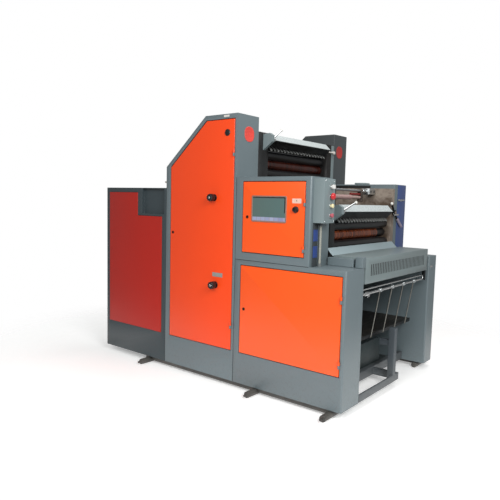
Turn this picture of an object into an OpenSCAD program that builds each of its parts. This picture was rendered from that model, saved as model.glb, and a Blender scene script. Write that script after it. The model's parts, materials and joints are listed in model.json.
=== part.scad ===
// Two-colour offset printing press: feeder at -X, delivery at +X, operator side at -Y.
// The origin lies on the floor, at the middle of the overall length and width. Millimetres.

/* [Overall] */
// Length from the feeder end to the delivery end
press_l = 2220; // [2000:10:2600]
// Width over the two rows of housings
press_w = 1470; // [1300:10:1750]
// Height of the two towers above the floor
tower_top = 1850; // [1760:5:2100]

/* [Base] */
// Diameter of the round skid bars on the floor
skid_d = 42; // [36:1:46]
// How far a skid bar stands out past the housings
skid_out = 75; // [40:5:120]
// How far a skid bar reaches in under the housings
skid_in = 150; // [110:5:200]
// Diameter of the turned tip on a skid bar
skid_tip_d = 16; // [10:1:24]
// Length of the turned tip
skid_tip_l = 25; // [10:1:40]
// Height of the housings' underside over the skid bars
skid_over = 8; // [5:1:30]
// Height of the black base rail
rail_h = 32; // [20:1:34]
// Width of the base rail
rail_w = 75; // [50:1:120]
// How far the rail is set back from the housing face
rail_inset = 20; // [5:1:40]
// Side of the square tubes in the frame
tube = 50; // [40:1:60]

/* [Towers] */
// Left edge of the towers from the machine's middle
tower_x0 = -400; // [-460:5:-360]
// Right edge of the towers
tower_x1 = 275; // [240:5:300]
// Height where the sloping edge starts
knee_z = 1512; // [1430:5:1600]
// Where the sloping edge meets the flat top
knee_x = -14; // [-60:5:40]
// Thickness of the operator-side tower
near_t = 224; // [190:2:260]
// Thickness of the far tower
far_t = 210; // [180:2:240]

/* [Feeder] */
// Height of the feeder housings
feeder_top = 1359; // [1280:5:1420]
// Width of the recess beside the tower
recess_w = 275; // [200:5:320]
// Height of the recess
recess_h = 196; // [150:2:230]
// Depth of the recess
recess_d = 28; // [15:1:40]

/* [Delivery side] */
// Right edge of the operator-side control cabinet
control_x1 = 855; // [800:5:880]
// Right edge of the far control cabinet
far_control_x1 = 830; // [780:5:850]
// Height of the control cabinets
control_top = 1434; // [1400:2:1500]
// Depth of the operator-side control cabinet
control_t = 228; // [200:2:250]
// Height of the lower housings
lower_top = 890; // [850:5:920]
// Depth of the operator-side lower housing
lower_t = 228; // [200:2:245]
// Depth of the far lower housing
far_lower_t = 152; // [130:2:180]
// Radius of the folded upright edges
fold_r = 10; // [4:1:14]

/* [Doors] */
// Thickness of a door
door_t = 22; // [16:1:30]
// How far a door stands proud of its housing
door_proud = 2; // [0:0.5:4]
// Gap all round a door
door_gap = 5; // [5:0.5:8]
// Height of the doors' lower edge
door_z0 = 264; // [220:2:300]
// Frame showing left of a tower or lower door
door_left = 50; // [40:1:60]
// Frame showing right of a door
door_right = 26; // [24:1:34]
// Frame showing over the tower door
door_over = 36; // [28:1:50]
// Frame showing along the tower door's slope, measured upright
door_slope = 43; // [35:1:60]
// Width of the lip that the door closes on
door_lip = 14; // [8:1:24]
// Depth inside a housing, behind its door
pocket_d = 150; // [100:5:170]
// Radius of a hinge knuckle
knuckle_r = 6; // [5:0.5:8]
// Radius of a hinge pin
hinge_pin_r = 3; // [2.5:0.25:4]
// Length of one knuckle
knuckle_h = 20; // [16:1:30]
// Width of a hinge leaf
leaf_w = 13; // [10:1:14]

/* [Side frames] */
// Inner face of the operator-side cast frame
near_in = -397; // [-420:1:-380]
// Thickness of the operator-side cast frame
near_frame_t = 60; // [50:1:70]
// Thickness of the far cast frame
far_frame_t = 50; // [45:1:60]
// Depth of the cheek that carries the upper rollers
cheek_d = 60; // [50:1:80]
// Depth of a journal's hole in a cast frame
journal_l = 40; // [30:1:44]
// Radius of an ink roller's journal
journal_r = 12; // [8:0.5:16]
// Radius of a plate cylinder's journal
cyl_journal_r = 20; // [15:0.5:26]

/* [Inking units] */
// Key row of the upper unit, along X
unit_x = 260; // [250:1:270]
// Key row of the upper unit, above the floor
unit_z = 1650; // [1640:1:1670]
// Distance along X from the upper unit to the lower unit
unit_dx = 560; // [540:5:565]
// Height of the upper unit over the lower unit
unit_dz = 480; // [470:5:490]
// Radius of the roller under the ink duct
duct_roller_r = 32; // [26:1:34]
// Radius of the red-brown ink roller
ink_roller_r = 35; // [30:1:37]
// Radius of the form roller
form_roller_r = 38; // [32:1:40]
// Radius of a plate cylinder
plate_r = 95; // [80:1:100]
// Number of ink keys on a duct
key_count = 18; // [10:1:20]
// Spacing of the ink keys
key_pitch = 42; // [36:1:44]
// Radius of an ink key's head
key_r = 9; // [6:0.5:12]
// Length of an ink key's head
key_l = 34; // [18:1:40]

/* [Delivery] */
// Height of the delivery cover
cover_top = 950; // [940:2:970]
// Height of the cover's front plate
cover_h = 160; // [140:2:180]
// Depth of the cover's flat top
cover_d = 225; // [200:5:240]
// Operator-side end of the cover
cover_y0 = -492; // [-498:1:-480]
// Far end of the cover
cover_y1 = 538; // [520:1:560]
// Number of upright slots in the grille
slot_count = 36; // [20:1:36]
// Spacing of the slots
slot_pitch = 25; // [22:0.5:26]
// Width of a slot
slot_w = 12; // [8:0.5:14]
// Height of a slot
slot_h = 72; // [60:1:80]
// Height of the pile board's top face
board_z = 410; // [400:1:440]
// Thickness of the pile board
board_t = 25; // [18:1:30]
// Highest lift of the pile board
board_lift = 220; // [150:10:240]
// Radius of the pile guide rods
guide_r = 8; // [6:0.5:12]

/* [Controls] */
// Distance between the buttons
button_pitch = 57; // [50:1:60]
// Radius of a button's stem
stem_r = 8; // [6:0.5:10]
// Travel of a push button
button_travel = 4; // [2:0.5:5]
// Radius of the stop button's head
stop_r = 20; // [16:1:24]
// Radius of the tower door's hand knobs
knob_r = 26; // [20:1:32]
// Length of the hand knobs
knob_l = 50; // [30:1:60]

/* [Hidden] */
$fn = 48;
fit = 0.06;             // running clearance on a radius
seat = 0.5;             // end clearance of a turning piece on its pin

base_z = skid_d + skid_over;                  // underside of the housings above the floor
half_l = press_l / 2;
half_w = press_w / 2;
tower_in = half_w - far_t;                    // inner face of the far tower
far_in = tower_in - far_frame_t;              // inner face of the far cast frame
cheek_in = far_in - cheek_d;                  // inner face of the upper rollers' cheek
near_out = near_in - near_frame_t;            // outer face of the operator-side cast frame
near_lower_in = lower_t - half_w;             // inner face of the operator-side lower housing
far_lower_in = half_w - far_lower_t;          // inner face of the far lower housing
tower_near_in = near_t - half_w;              // inner face of the operator-side tower
lower_unit_z = unit_z - unit_dz;              // key row of the lower unit, above the floor
slope = (tower_top - knee_z) / (knee_x - tower_x0);
frame_z = base_z + tube;                      // top of the base beams
frame_x0 = tower_x0 + 10;
panel_t = 12;
panel_in = 10;                                // depth of the seat for a fixed panel
hinge_y = -half_w - 8;
skid_x = [-590, 460, half_l - 80];
rail_x0 = -640;
rail_x1 = half_l - 70;

// The tower's outline, pulled in by a margin on each side: [x, z] points
function tower_outline(left, right, low, over, down) = [
    [tower_x0 + left, low],
    [tower_x1 - right, low],
    [tower_x1 - right, tower_top - over],
    [tower_x0 + (tower_top - over + down - knee_z) / slope, tower_top - over],
    [tower_x0 + left, knee_z + left * slope - down]];

// The feeder panel's outline with its notch, grown by a margin
function feeder_outline(m) = [
    [-half_l + 35 - m, door_z0 - m],
    [tower_x0 - 47 + m, door_z0 - m],
    [tower_x0 - 47 + m, feeder_top - recess_h - 18 + m],
    [tower_x0 - recess_w - 50 + m, feeder_top - recess_h - 18 + m],
    [tower_x0 - recess_w - 50 + m, feeder_top - 36 + m],
    [-half_l + 35 - m, feeder_top - 36 + m]];

// A rectangle [x0, z0, x1, z1] grown by a margin
function grown(b, m) = [b[0] - m, b[1] - m, b[2] + m, b[3] + m];
control_door_box = [tower_x1 + 60, lower_top + 55, control_x1 - door_right - 17, control_top - 32];
lower_door_box = [tower_x1 + 53, door_z0, half_l - door_right, lower_top - 37];

// An [x, z] outline as a slab from y0 to y1
module slab_y(y0, y1) {
    translate([0, y1, 0]) rotate([90, 0, 0]) linear_extrude(y1 - y0) children();
}

// A [y, z] outline as a slab from x0 to x1
module slab_x(x0, x1) {
    translate([x0, 0, 0]) rotate([90, 0, 90]) linear_extrude(x1 - x0) children();
}

// A box between two corners
module block(a, b) {
    translate(a) cube(b - a);
}

// A round bar along Y
module bar_y(x, z, y0, y1, r) {
    translate([x, y1, z]) rotate([90, 0, 0]) cylinder(h = y1 - y0, r = r);
}

// A round bar along X
module bar_x(y, z, x0, x1, r) {
    translate([x0, y, z]) rotate([0, 90, 0]) cylinder(h = x1 - x0, r = r);
}

module rect(b) {
    translate([b[0], b[1]]) square([b[2] - b[0], b[3] - b[1]]);
}

// A rectangle whose two corners on the delivery side are rounded, as the folded sheet is
module folded_plan(x0, y0, x1, y1) {
    translate([x0, y0]) square([x1 - x0 - fold_r, y1 - y0]);
    translate([x0, y0 + fold_r]) square([x1 - x0, y1 - y0 - 2 * fold_r]);
    for (y = [y0 + fold_r, y1 - fold_r]) translate([x1 - fold_r, y]) circle(fold_r);
}

// The fixed half of a lift-off hinge at its seam: leaf, knuckle and pin
module hinge_fixed(x, z) {
    block([x, -half_w - 3, z - knuckle_h - seat], [x + leaf_w, -half_w, z - seat]);
    translate([x, hinge_y, z - knuckle_h - seat]) cylinder(h = knuckle_h, r = knuckle_r);
    translate([x, hinge_y, z - seat - 1]) cylinder(h = knuckle_h - 2, r = hinge_pin_r);
}

// The moving half of the same hinge, on a door's face
module hinge_moving(x, z) {
    block([x - leaf_w, -half_w - door_proud - 3, z], [x, -half_w - door_proud, z + knuckle_h]);
    translate([x, hinge_y, z]) cylinder(h = knuckle_h, r = knuckle_r);
}

// A door's hinges, with their pin holes, fused to the door
module hung_door(x, zs) {
    difference() {
        union() {
            children();
            for (z = zs) hinge_moving(x, z);
        }
        for (z = zs) translate([x, hinge_y, z - 1]) cylinder(h = knuckle_h + 2, r = hinge_pin_r + fit);
    }
}

tower_hinge_x = tower_x1 - door_right + door_gap / 2;
tower_hinge_z = [door_z0 + 170, tower_top - 258];
control_hinge_x = control_door_box[2] + door_gap / 2;
control_hinge_z = [control_door_box[1] + 50, control_door_box[3] - 127];
lower_hinge_x = lower_door_box[2] + door_gap / 2;
lower_hinge_z = [lower_door_box[1] + 72, lower_door_box[3] - 134];

// ---- Base: two rails, each on three short round skid bars, and the beams between the housings ----

module base_rails() color("#17191b") difference() {
    for (y = [-half_w + rail_inset, half_w - rail_inset - rail_w])
        block([rail_x0, y, base_z - rail_h], [rail_x1, y + rail_w, base_z]);
    for (x = skid_x) bar_y(x, skid_d / 2, -half_w, half_w, skid_d / 2 + 0.3);
}

module skid_bars() color("#1d1f21") for (x = skid_x) for (side = [0, 1]) mirror([0, side, 0]) {
    bar_y(x, skid_d / 2, -half_w - skid_out, skid_in - half_w, skid_d / 2);
    bar_y(x, skid_d / 2, -half_w - skid_out - skid_tip_l, -half_w, skid_tip_d / 2);
}

module base_beams() color("#3b4347") {
    for (x = [-half_l + 50, tower_x0 - 360, tower_x0 + 20, tower_x1 - 75])
        block([x, tower_near_in, base_z], [x + tube, tower_in, frame_z]);
    block([tower_x1 + 75, near_lower_in, base_z], [tower_x1 + 75 + tube, far_lower_in, frame_z]);
}

// ---- Feeder housings, with the recess beside the tower and the notched orange panels ----

module feeder_body(y0, y1, face, inward) {
    recess_y = face < 0 ? y0 - 1 : y1 - recess_d;
    seat_y = face < 0 ? y0 - 1 : y1 - panel_in;
    difference() {
        block([-half_l, y0, base_z], [tower_x0, y1, feeder_top]);
        block([tower_x0 - recess_w, recess_y, feeder_top - recess_h],
            [tower_x0 - 25, recess_y + recess_d + 1, feeder_top - 6]);
        slab_y(seat_y, seat_y + panel_in + 1) polygon(feeder_outline(1.5));
    }
}

module feeder_housing_near() color("#5d6b71") feeder_body(-half_w, tower_near_in, -1);

module feeder_housing_far() color("#5d6b71") feeder_body(tower_in, half_w, 1);

module feeder_panel() color("#f8591b")
    slab_y(-half_w - panel_t + panel_in, -half_w + panel_in) polygon(feeder_outline(0));

module far_panels() color("#f8591b") {
    y0 = half_w - panel_in;
    slab_y(y0, y0 + panel_t) polygon(feeder_outline(0));
    slab_y(y0, y0 + panel_t) polygon(tower_outline(door_left, door_right, door_z0, door_over, door_slope));
    slab_y(y0, y0 + panel_t) rect(far_control_panel);
    slab_y(y0, y0 + panel_t) rect(lower_door_box);
}

far_control_panel = [control_door_box[0], control_door_box[1], far_control_x1 - door_right - 17, control_door_box[3]];

// ---- Towers ----

module tower_housing_near() color("#6b7a80") {
    difference() {
        slab_y(-half_w, tower_near_in) polygon(tower_outline(0, 0, base_z, 0, 0));
        slab_y(-half_w - 1, -half_w - door_proud + door_t + door_gap)
            polygon(tower_outline(door_left - door_gap, door_right - door_gap, door_z0 - door_gap,
                door_over - door_gap, door_slope - door_gap * sqrt(1 + slope * slope)));
        slab_y(-half_w, -half_w + pocket_d)
            polygon(tower_outline(door_left + door_lip, door_right + door_lip, door_z0 + door_lip,
                door_over + door_lip, door_slope + door_lip * sqrt(1 + slope * slope)));
    }
    for (z = tower_hinge_z) hinge_fixed(tower_hinge_x, z);
}

module tower_housing_far() color("#45494b") difference() {
    slab_y(tower_in, half_w) polygon(tower_outline(0, 0, base_z, 0, 0));
    slab_y(half_w - panel_in, half_w + 1)
        polygon(tower_outline(door_left - 1.5, door_right - 1.5, door_z0 - 1.5,
            door_over - 1.5, door_slope - 1.5 * sqrt(1 + slope * slope)));
}

knob_x = [80, 103];
knob_z = [1295, 696];
knob_pin_r = 6;
knob_gap = 5;
door_face = -half_w - door_proud;

module tower_door() color("#f8591b") hung_door(tower_hinge_x, tower_hinge_z) {
    slab_y(door_face, door_face + door_t)
        polygon(tower_outline(door_left, door_right, door_z0, door_over, door_slope));
    for (i = [0, 1])
        bar_y(knob_x[i], knob_z[i], door_face - knob_gap - knob_l + 12, door_face + 1, knob_pin_r);
}

// A hand knob on its pin, which stands out of the tower door
module hand_knob(x, z) {
    front = door_face - knob_gap - knob_l;
    difference() {
        bar_y(x, z, front, door_face - knob_gap, knob_r);
        bar_y(x, z, front + 10, door_face, knob_pin_r + fit);
    }
}

module tower_knob_upper() color("#1b1b1c") hand_knob(knob_x[0], knob_z[0]);

module tower_knob_lower() color("#1b1b1c") hand_knob(knob_x[1], knob_z[1]);

module name_plates() color("#c8201c") {
    block([tower_x1, -half_w + 72, 1674], [tower_x1 + 2, -half_w + 172, 1774]);
    block([tower_x1, half_w - 169, 1656], [tower_x1 + 2, half_w - 69, 1756]);
}

// ---- Control cabinets ----

module control_housing_near() color("#6b7a80") {
    b = control_door_box;
    difference() {
        translate([0, 0, lower_top]) linear_extrude(control_top - lower_top)
            folded_plan(tower_x1, -half_w, control_x1, control_t - half_w);
        slab_y(-half_w - 1, door_face + door_t + door_gap) rect(grown(b, door_gap));
        slab_y(-half_w, -half_w + pocket_d) rect(grown(b, -door_lip));
    }
    for (z = control_hinge_z) hinge_fixed(control_hinge_x, z);
}

module control_housing_far() color("#4c5a78") difference() {
    block([tower_x1, tower_in, lower_top], [far_control_x1, half_w, control_top]);
    slab_y(half_w - panel_in, half_w + 1) rect(grown(far_control_panel, 1.5));
}

speed_x = control_door_box[2] - 60;
speed_z = control_top - 201;
speed_pin_r = 4;

module control_door() color("#f8591b") hung_door(control_hinge_x, control_hinge_z) {
    slab_y(door_face, door_face + door_t) rect(control_door_box);
    bar_y(speed_x, speed_z, door_face - knob_gap - 12, door_face + 1, speed_pin_r);
}

screen = [control_door_box[0] + 75, control_top - 287, control_door_box[0] + 348, control_top - 119];

module touch_screen() color("#39413d") slab_y(door_face - 5, door_face) rect(screen);

module speed_knob() color("#1b1b1c") difference() {
    bar_y(speed_x, speed_z, door_face - knob_gap - 18, door_face - knob_gap, 20);
    bar_y(speed_x, speed_z, door_face - knob_gap - 12.5, door_face, speed_pin_r + fit);
}

// ---- Lower housings ----

module lower_housing_near() color("#6b7a80") {
    b = lower_door_box;
    difference() {
        translate([0, 0, base_z]) linear_extrude(lower_top - base_z)
            folded_plan(tower_x1, -half_w, half_l, near_lower_in);
        slab_y(-half_w - 1, door_face + door_t + door_gap) rect(grown(b, door_gap));
        slab_y(-half_w, -half_w + pocket_d) rect(grown(b, -door_lip));
    }
    for (z = lower_hinge_z) hinge_fixed(lower_hinge_x, z);
}

module lower_housing_far() color("#5d6b71") difference() {
    translate([0, 0, base_z]) linear_extrude(lower_top - base_z)
        folded_plan(tower_x1, far_lower_in, half_l, half_w);
    slab_y(half_w - panel_in, half_w + 1) rect(grown(lower_door_box, 1.5));
}

module lower_door() color("#f8591b") hung_door(lower_hinge_x, lower_hinge_z)
    slab_y(door_face, door_face + door_t) rect(lower_door_box);

// ---- Cast side frames, with the bearing holes of both inking units ----

duct_roller = [unit_x - 45, unit_z - 22 - duct_roller_r + 12];
ink_roller = duct_roller + (duct_roller_r + ink_roller_r + 1) * [-sin(17), -cos(17)];
form_roller = ink_roller + (ink_roller_r + form_roller_r + 1) * [sin(17), -cos(17)];
plate_cyl = form_roller + (form_roller_r + plate_r + 1) * [-1, 0];
train = [duct_roller, ink_roller, form_roller];
train_r = [duct_roller_r, ink_roller_r, form_roller_r];
to_lower = [unit_dx, -unit_dz];
units = [[0, 0], to_lower];

frame_outline = [
    [frame_x0, frame_z],
    [frame_x0, knee_z - 72],
    [knee_x - 16, tower_top - 95],
    [tower_x1, tower_top - 95],
    [tower_x1, lower_unit_z + 230],
    [far_control_x1, lower_unit_z + 230],
    [far_control_x1, lower_top + 40],
    [tower_x1 + 105, lower_top - 30],
    [tower_x1 + 105, frame_z]];

// Blind holes for the journals of one unit, from an inner face outwards (dir -1) or inwards (dir 1)
module journal_holes(u, face, dir) {
    y0 = dir < 0 ? face - journal_l : face - 1;
    y1 = dir < 0 ? face + 1 : face + journal_l;
    for (p = train) bar_y(p[0] + u[0], p[1] + u[1], y0, y1, journal_r + fit);
    bar_y(plate_cyl[0] + u[0], plate_cyl[1] + u[1], y0, y1, cyl_journal_r + fit);
}

lever_x = unit_x + 74;
lever_z = unit_z + 54;
lever_pin_r = 8;
lever_y = near_out + 25;            // inner face of the lever's bracket

// The gusset that carries one duct lever, with its pin
module lever_bracket(u, x0) {
    x = lever_x + u[0];
    z = lever_z + u[1];
    slab_y(near_out, lever_y) polygon([
        [x0, z - 70],
        [x + 18, z - 14],
        [x + 18, z + 28],
        [x - 6, z + 44],
        [x0, z + 36]]);
    bar_y(x, z, lever_y - 1, lever_y + 22, lever_pin_r);
}

module side_frame_near() color("#59646a") {
    difference() {
        union() {
            slab_y(near_out, near_in) polygon(frame_outline);
            block([tower_x1 - 40, tower_near_in, frame_z], [tower_x1, near_out, tower_top - 95]);
        }
        for (u = units) journal_holes(u, near_in, -1);
    }
    lever_bracket([0, 0], tower_x1);
    lever_bracket(to_lower, far_control_x1);
}

throw_y = far_in + 25;
throw_z = lower_unit_z + 45;
throw_pin_r = 10;

module side_frame_far() color("#7e7468") {
    difference() {
        union() {
            slab_y(far_in, tower_in) polygon(frame_outline);
            block([tower_x1 - 235, cheek_in, unit_z - 216], [tower_x1, far_in, tower_top - 95]);
        }
        journal_holes([0, 0], cheek_in, 1);
        journal_holes(to_lower, far_in, 1);
    }
    bar_x(throw_y, throw_z, far_control_x1 - 1, far_control_x1 + 30, throw_pin_r);
}

tie_bar_at = [[-340, 250], [-340, 1200], [-60, 1560], [tower_x1 + 155, lower_top + 20]];

module tie_bars() color("#8b9093") for (p = tie_bar_at) bar_y(p[0], p[1], near_in, far_in, 20);

// Dark sheets that close the delivery space: across the frame, under it, and low in front
module bulkhead() color("#24383a") {
    block([tower_x1 + 91, near_in, frame_z], [tower_x1 + 97, far_in, lower_top - 40]);
    block([tower_x1 + 75, near_lower_in, base_z - 4], [half_l - 220, far_lower_in, base_z]);
    block([half_l - 226, near_lower_in, frame_z], [half_l - 220, post_y + 245, mid_z]);
}

// Sloping sheet between the towers on the feeder side
module tower_cover() color("#6b7a80") slab_y(tower_near_in, tower_in) polygon([
    [tower_x0 + 4, knee_z - 31],
    [knee_x - 46, knee_z - 31 + (knee_x - 50 - tower_x0) * slope],
    [knee_x - 46, knee_z - 26 + (knee_x - 50 - tower_x0) * slope],
    [tower_x0 + 4, knee_z - 26]]);

// ---- Feeder inside ----

module feed_board() color("#a9adac") slab_y(near_out + 7, tower_in - 5) polygon([
    [tower_x0 - 290, 1100],
    [frame_x0, 1050],
    [frame_x0, 1062],
    [tower_x0 - 290, 1112]]);

module suction_head() color("#8b9093") {
    block([tower_x0 - 360, tower_near_in, 1200], [tower_x0 - 310, tower_in, 1250]);
    for (i = [-3:3]) translate([tower_x0 - 335, i * 120, 1120]) cylinder(h = 81, r = 9);
}

module feeder_pile_board() color("#9a7b52")
    block([-half_l + 20, tower_near_in + 31, frame_z], [tower_x0 - 300, tower_in - 35, frame_z + board_t]);

// ---- Inking units: duct with its keys, rollers and plate cylinder ----

key_y0 = -(key_count - 1) * key_pitch / 2 - 29;
duct_y0 = near_in + 5;
duct_y1 = cheek_in - 30;
nose = [unit_x + 68, unit_z + 56];          // where the duct's blade meets its sloping front plate
blade_foot = nose - [60, 60];               // lower edge of the blade, which rises at 45 degrees
key_foot = blade_foot + [10, 10];           // where a key's axis leaves the blade

// The trough of an ink duct, hung on a stub at each end
module ink_duct(u, far) {
    translate([u[0], 0, u[1]]) {
        slab_y(duct_y0, duct_y1) polygon([
            [unit_x - 36, unit_z - 4],
            [unit_x - 10, unit_z - 14],
            blade_foot,
            nose,
            nose + [-44, 44],
            nose + [-50, 38],
            nose + [-14, 0],
            blade_foot + [-6, 9],
            [unit_x - 36, unit_z + 2]]);
        for (y = [duct_y0, duct_y1 - 10])
            slab_y(y, y + 10) polygon([
                [unit_x - 100, unit_z + 20],
                blade_foot + [0, 2],
                nose + [-2, 0],
                nose + [-44, 42],
                [unit_x - 100, unit_z + 80]]);
        bar_y(unit_x - 70, unit_z + 45, near_in, duct_y0, 14);
        bar_y(unit_x - 70, unit_z + 45, duct_y1, far, 14);
    }
}

module ink_duct_upper() color("#25282a") ink_duct([0, 0], cheek_in);

module ink_duct_lower() color("#25282a") ink_duct(to_lower, far_in);

// The row of key screws, square to the blade
module ink_keys(u) for (i = [0:key_count - 1])
    translate([key_foot[0] + u[0], key_y0 + i * key_pitch, key_foot[1] + u[1]])
        rotate([0, 135, 0]) cylinder(h = key_l, r = key_r);

module ink_keys_upper() color("#b9bcbc") ink_keys([0, 0]);

module ink_keys_lower() color("#b9bcbc") ink_keys(to_lower);

// A roller with a journal at each end
module roller(p, u, r, jr, far) {
    bar_y(p[0] + u[0], p[1] + u[1], near_in + 5, far - 5, r);
    bar_y(p[0] + u[0], p[1] + u[1], near_in - journal_l + 2, far + journal_l - 2, jr);
}

module duct_roller_upper() color("#202224") roller(train[0], [0, 0], train_r[0], journal_r, cheek_in);

module ink_roller_upper() color("#4a2219") roller(train[1], [0, 0], train_r[1], journal_r, cheek_in);

module form_roller_upper() color("#1a1b1b") roller(train[2], [0, 0], train_r[2], journal_r, cheek_in);

module plate_cylinder_upper() color("#8f9495") roller(plate_cyl, [0, 0], plate_r, cyl_journal_r, cheek_in);

module duct_roller_lower() color("#202224") roller(train[0], to_lower, train_r[0], journal_r, far_in);

module ink_roller_lower() color("#8a4a25") roller(train[1], to_lower, train_r[1], journal_r, far_in);

module form_roller_lower() color("#1a1b1b") roller(train[2], to_lower, train_r[2], journal_r, far_in);

module plate_cylinder_lower() color("#8f9495") roller(plate_cyl, to_lower, plate_r, cyl_journal_r, far_in);

// A duct lever: hub on its pin and a rod that rises towards the middle of the machine, leaning over by an angle
module duct_lever(u, lean) translate([lever_x + u[0], lever_y + seat, lever_z + u[1]]) rotate([0, lean, 0]) difference() {
    union() {
        bar_y(0, 0, 0, 20, 16);
        translate([0, 10, 8]) rotate([-55, 0, 0]) cylinder(h = 115, r = 6);
        translate([0, 10 + 118 * sin(55), 8 + 118 * cos(55)]) sphere(r = 10);
    }
    bar_y(0, 0, -1, 40, lever_pin_r + fit);
}

module duct_lever_upper() color("#c9cccc") duct_lever([0, 0], 0);

module duct_lever_lower() color("#c9cccc") duct_lever(to_lower, 36);

// Crank lever at the far side of the lower unit, in front of the far cabinet's end
module throw_off_lever() color("#2a2c2e") translate([far_control_x1 + 8, throw_y, throw_z]) difference() {
    union() {
        bar_x(0, 0, 0, 18, 20);
        translate([9, 0, 0]) rotate([38, 0, 0]) cylinder(h = 82, r = 7);
        translate([9, -88 * sin(38), 88 * cos(38)]) sphere(r = 11);
        translate([9, 0, 0]) rotate([-132, 0, 0]) cylinder(h = 70, r = 7);
        translate([9, 70 * sin(132), 70 * cos(132)]) rotate([-126, 0, 0]) cylinder(h = 112, r = 11);
    }
    bar_x(0, 0, -1, 30, throw_pin_r + fit);
}

spray_x = tower_x1 + 385;
spray_z = lower_unit_z + 205;
bracket_y = 265;

// Silver cross rod over the lower unit, with its clamp block and the hanger of the rubber sleeve
module spray_rod() color("#c9cccc") {
    bar_y(spray_x, spray_z, near_in, far_in, 9);
    block([spray_x - 30, far_in - 105, spray_z - 26], [spray_x + 30, far_in, spray_z + 20]);
    block([spray_x - 20, bracket_y, spray_z - 82], [spray_x + 20, bracket_y + 20, spray_z + 14]);
}

module rubber_sleeve() color("#a8635c") bar_y(spray_x, spray_z - 50, near_in, bracket_y, 17);

// ---- Delivery: cover with its grille, guard, bars, fingers and the pile lift ----

cover_x0 = half_l - cover_d;
sheet_t = 6;

module delivery_cover() color("#8a9698") difference() {
    block([cover_x0, cover_y0, cover_top - cover_h], [half_l, cover_y1, cover_top]);
    block([cover_x0 - 1, cover_y0 + sheet_t, cover_top - cover_h - 1],
        [half_l - sheet_t, cover_y1 - sheet_t, cover_top - sheet_t]);
    for (i = [0:slot_count - 1]) {
        y = (cover_y0 + cover_y1) / 2 + (i - (slot_count - 1) / 2) * slot_pitch;
        block([half_l - sheet_t - 1, y - slot_w / 2, cover_top - cover_h + 45],
            [half_l + 1, y + slot_w / 2, cover_top - cover_h + 45 + slot_h]);
    }
}

module delivery_guard() color("#8a9698") slab_y(control_t - half_w + 5, cover_y1 - 53) polygon([
    [cover_x0, cover_top],
    [cover_x0 - 45, cover_top + 43],
    [cover_x0 - 49, cover_top + 39],
    [cover_x0, cover_top - 6]]);

module cover_blocks() color("#7b878a") {
    for (side = [[near_lower_in - 28, cover_y0], [cover_y1, far_lower_in + 37]])
        block([cover_x0 - 20, side[0], lower_top], [half_l - 65, side[1], cover_top - 10]);
    block([half_l - 51, near_lower_in - 28, lower_top], [half_l, cover_y0, cover_top + 7]);
}

bars_x = half_l - 18;
bar_z = [lower_top - 137, lower_top - 166];
bar_r = [5, 8];
bars_y1 = 505;

module delivery_bars() color("#cfd2d2") {
    for (i = [0, 1]) bar_y(bars_x, bar_z[i], near_lower_in, bars_y1, bar_r[i]);
    block([bars_x - 8, bars_y1, bar_z[1] - 10], [half_l, bars_y1 + 14, cover_top - cover_h]);
    bar_y(bars_x, bar_z[1], -462, -378, 14);
    block([bars_x - 9, -430, bar_z[1] - 25], [bars_x + 9, -400, bar_z[1]]);
}

finger_y = [for (i = [0:3]) -237 + i * 188];

// Each finger is a thin rod that hangs from a clamp on the lower bar and leans inwards
module sheet_fingers() color("#c9cccc") for (y = finger_y) difference() {
    union() {
        bar_y(bars_x, bar_z[1], y - 14, y + 14, 16);
        translate([bars_x, y, bar_z[1]]) rotate([0, -171, 0]) cylinder(h = 328, r = 4);
    }
    bar_y(bars_x, bar_z[1], y - 15, y + 15, bar_r[1] + fit);
}

post_y = 0;
mid_z = 290;
bar_w = 40;

// Open frame under the delivery: end rail, side rail, two cross tubes, and a post with its foot plate and stop
module pile_frame() color("#5f6769") {
    block([half_l - 12, near_lower_in, base_z], [half_l, post_y + 70, frame_z]);
    block([half_l - 45, post_y - 5, base_z], [half_l, post_y + bar_w, mid_z + bar_w + 100]);
    block([tower_x1 + 75 + tube, post_y + 66, base_z], [half_l, post_y + 96, frame_z]);
    for (x = [half_l - 220, tower_x1 + 185])
        block([x, near_lower_in, base_z], [x + bar_w, far_lower_in, frame_z + 12]);
    block([half_l - 45, post_y, base_z], [half_l - 12, post_y + 96, base_z + 20]);
    block([half_l - 115, post_y, mid_z + 10], [half_l - 45, post_y + bar_w, mid_z + 52]);
}

guide_at = [for (y = [-430, 460]) [tower_x1 + 205, y]];

module pile_guides() color("#b7babb") for (p = guide_at) translate([p[0], p[1], frame_z + 12])
    cylinder(h = lower_top - 70 - frame_z, r = guide_r);

module pile_board() color("#4b463d") difference() {
    block([tower_x1 + 125, -475, board_z - board_t], [half_l - 100, 505, board_z]);
    for (p = guide_at) translate([p[0], p[1], board_z - board_t - 1]) cylinder(h = board_t + 2, r = guide_r + fit);
}

// ---- Button box on the control cabinet's end ----

box_y = [-half_w + 25, -half_w + 150];
box_x1 = control_x1 + 75;
box_top = control_top - 12;
button_y = -half_w + 100;
button_z0 = box_top - 47;
bezel_t = 3;
cap_off = bezel_t + 5 + button_travel;      // underside of a cap at rest, from the box face
bore_l = 40;

module button_box() color("#8a9698") difference() {
    union() {
        block([control_x1, box_y[0], box_top - 265], [box_x1, box_y[1], box_top]);
        for (i = [0:3]) bar_x(button_y, button_z0 - i * button_pitch, box_x1 - 1, box_x1 + bezel_t, 15);
    }
    for (i = [0:3]) bar_x(button_y, button_z0 - i * button_pitch, box_x1 - bore_l, box_x1 + 10, stem_r + fit);
}

// The stem of button number i, with a round cap
module button(i, r, cap_t) {
    z = button_z0 - i * button_pitch;
    bar_x(button_y, z, box_x1 - bore_l + button_travel + 6, box_x1 + cap_off + 1, stem_r);
    bar_x(button_y, z, box_x1 + cap_off, box_x1 + cap_off + cap_t, r);
}

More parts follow.
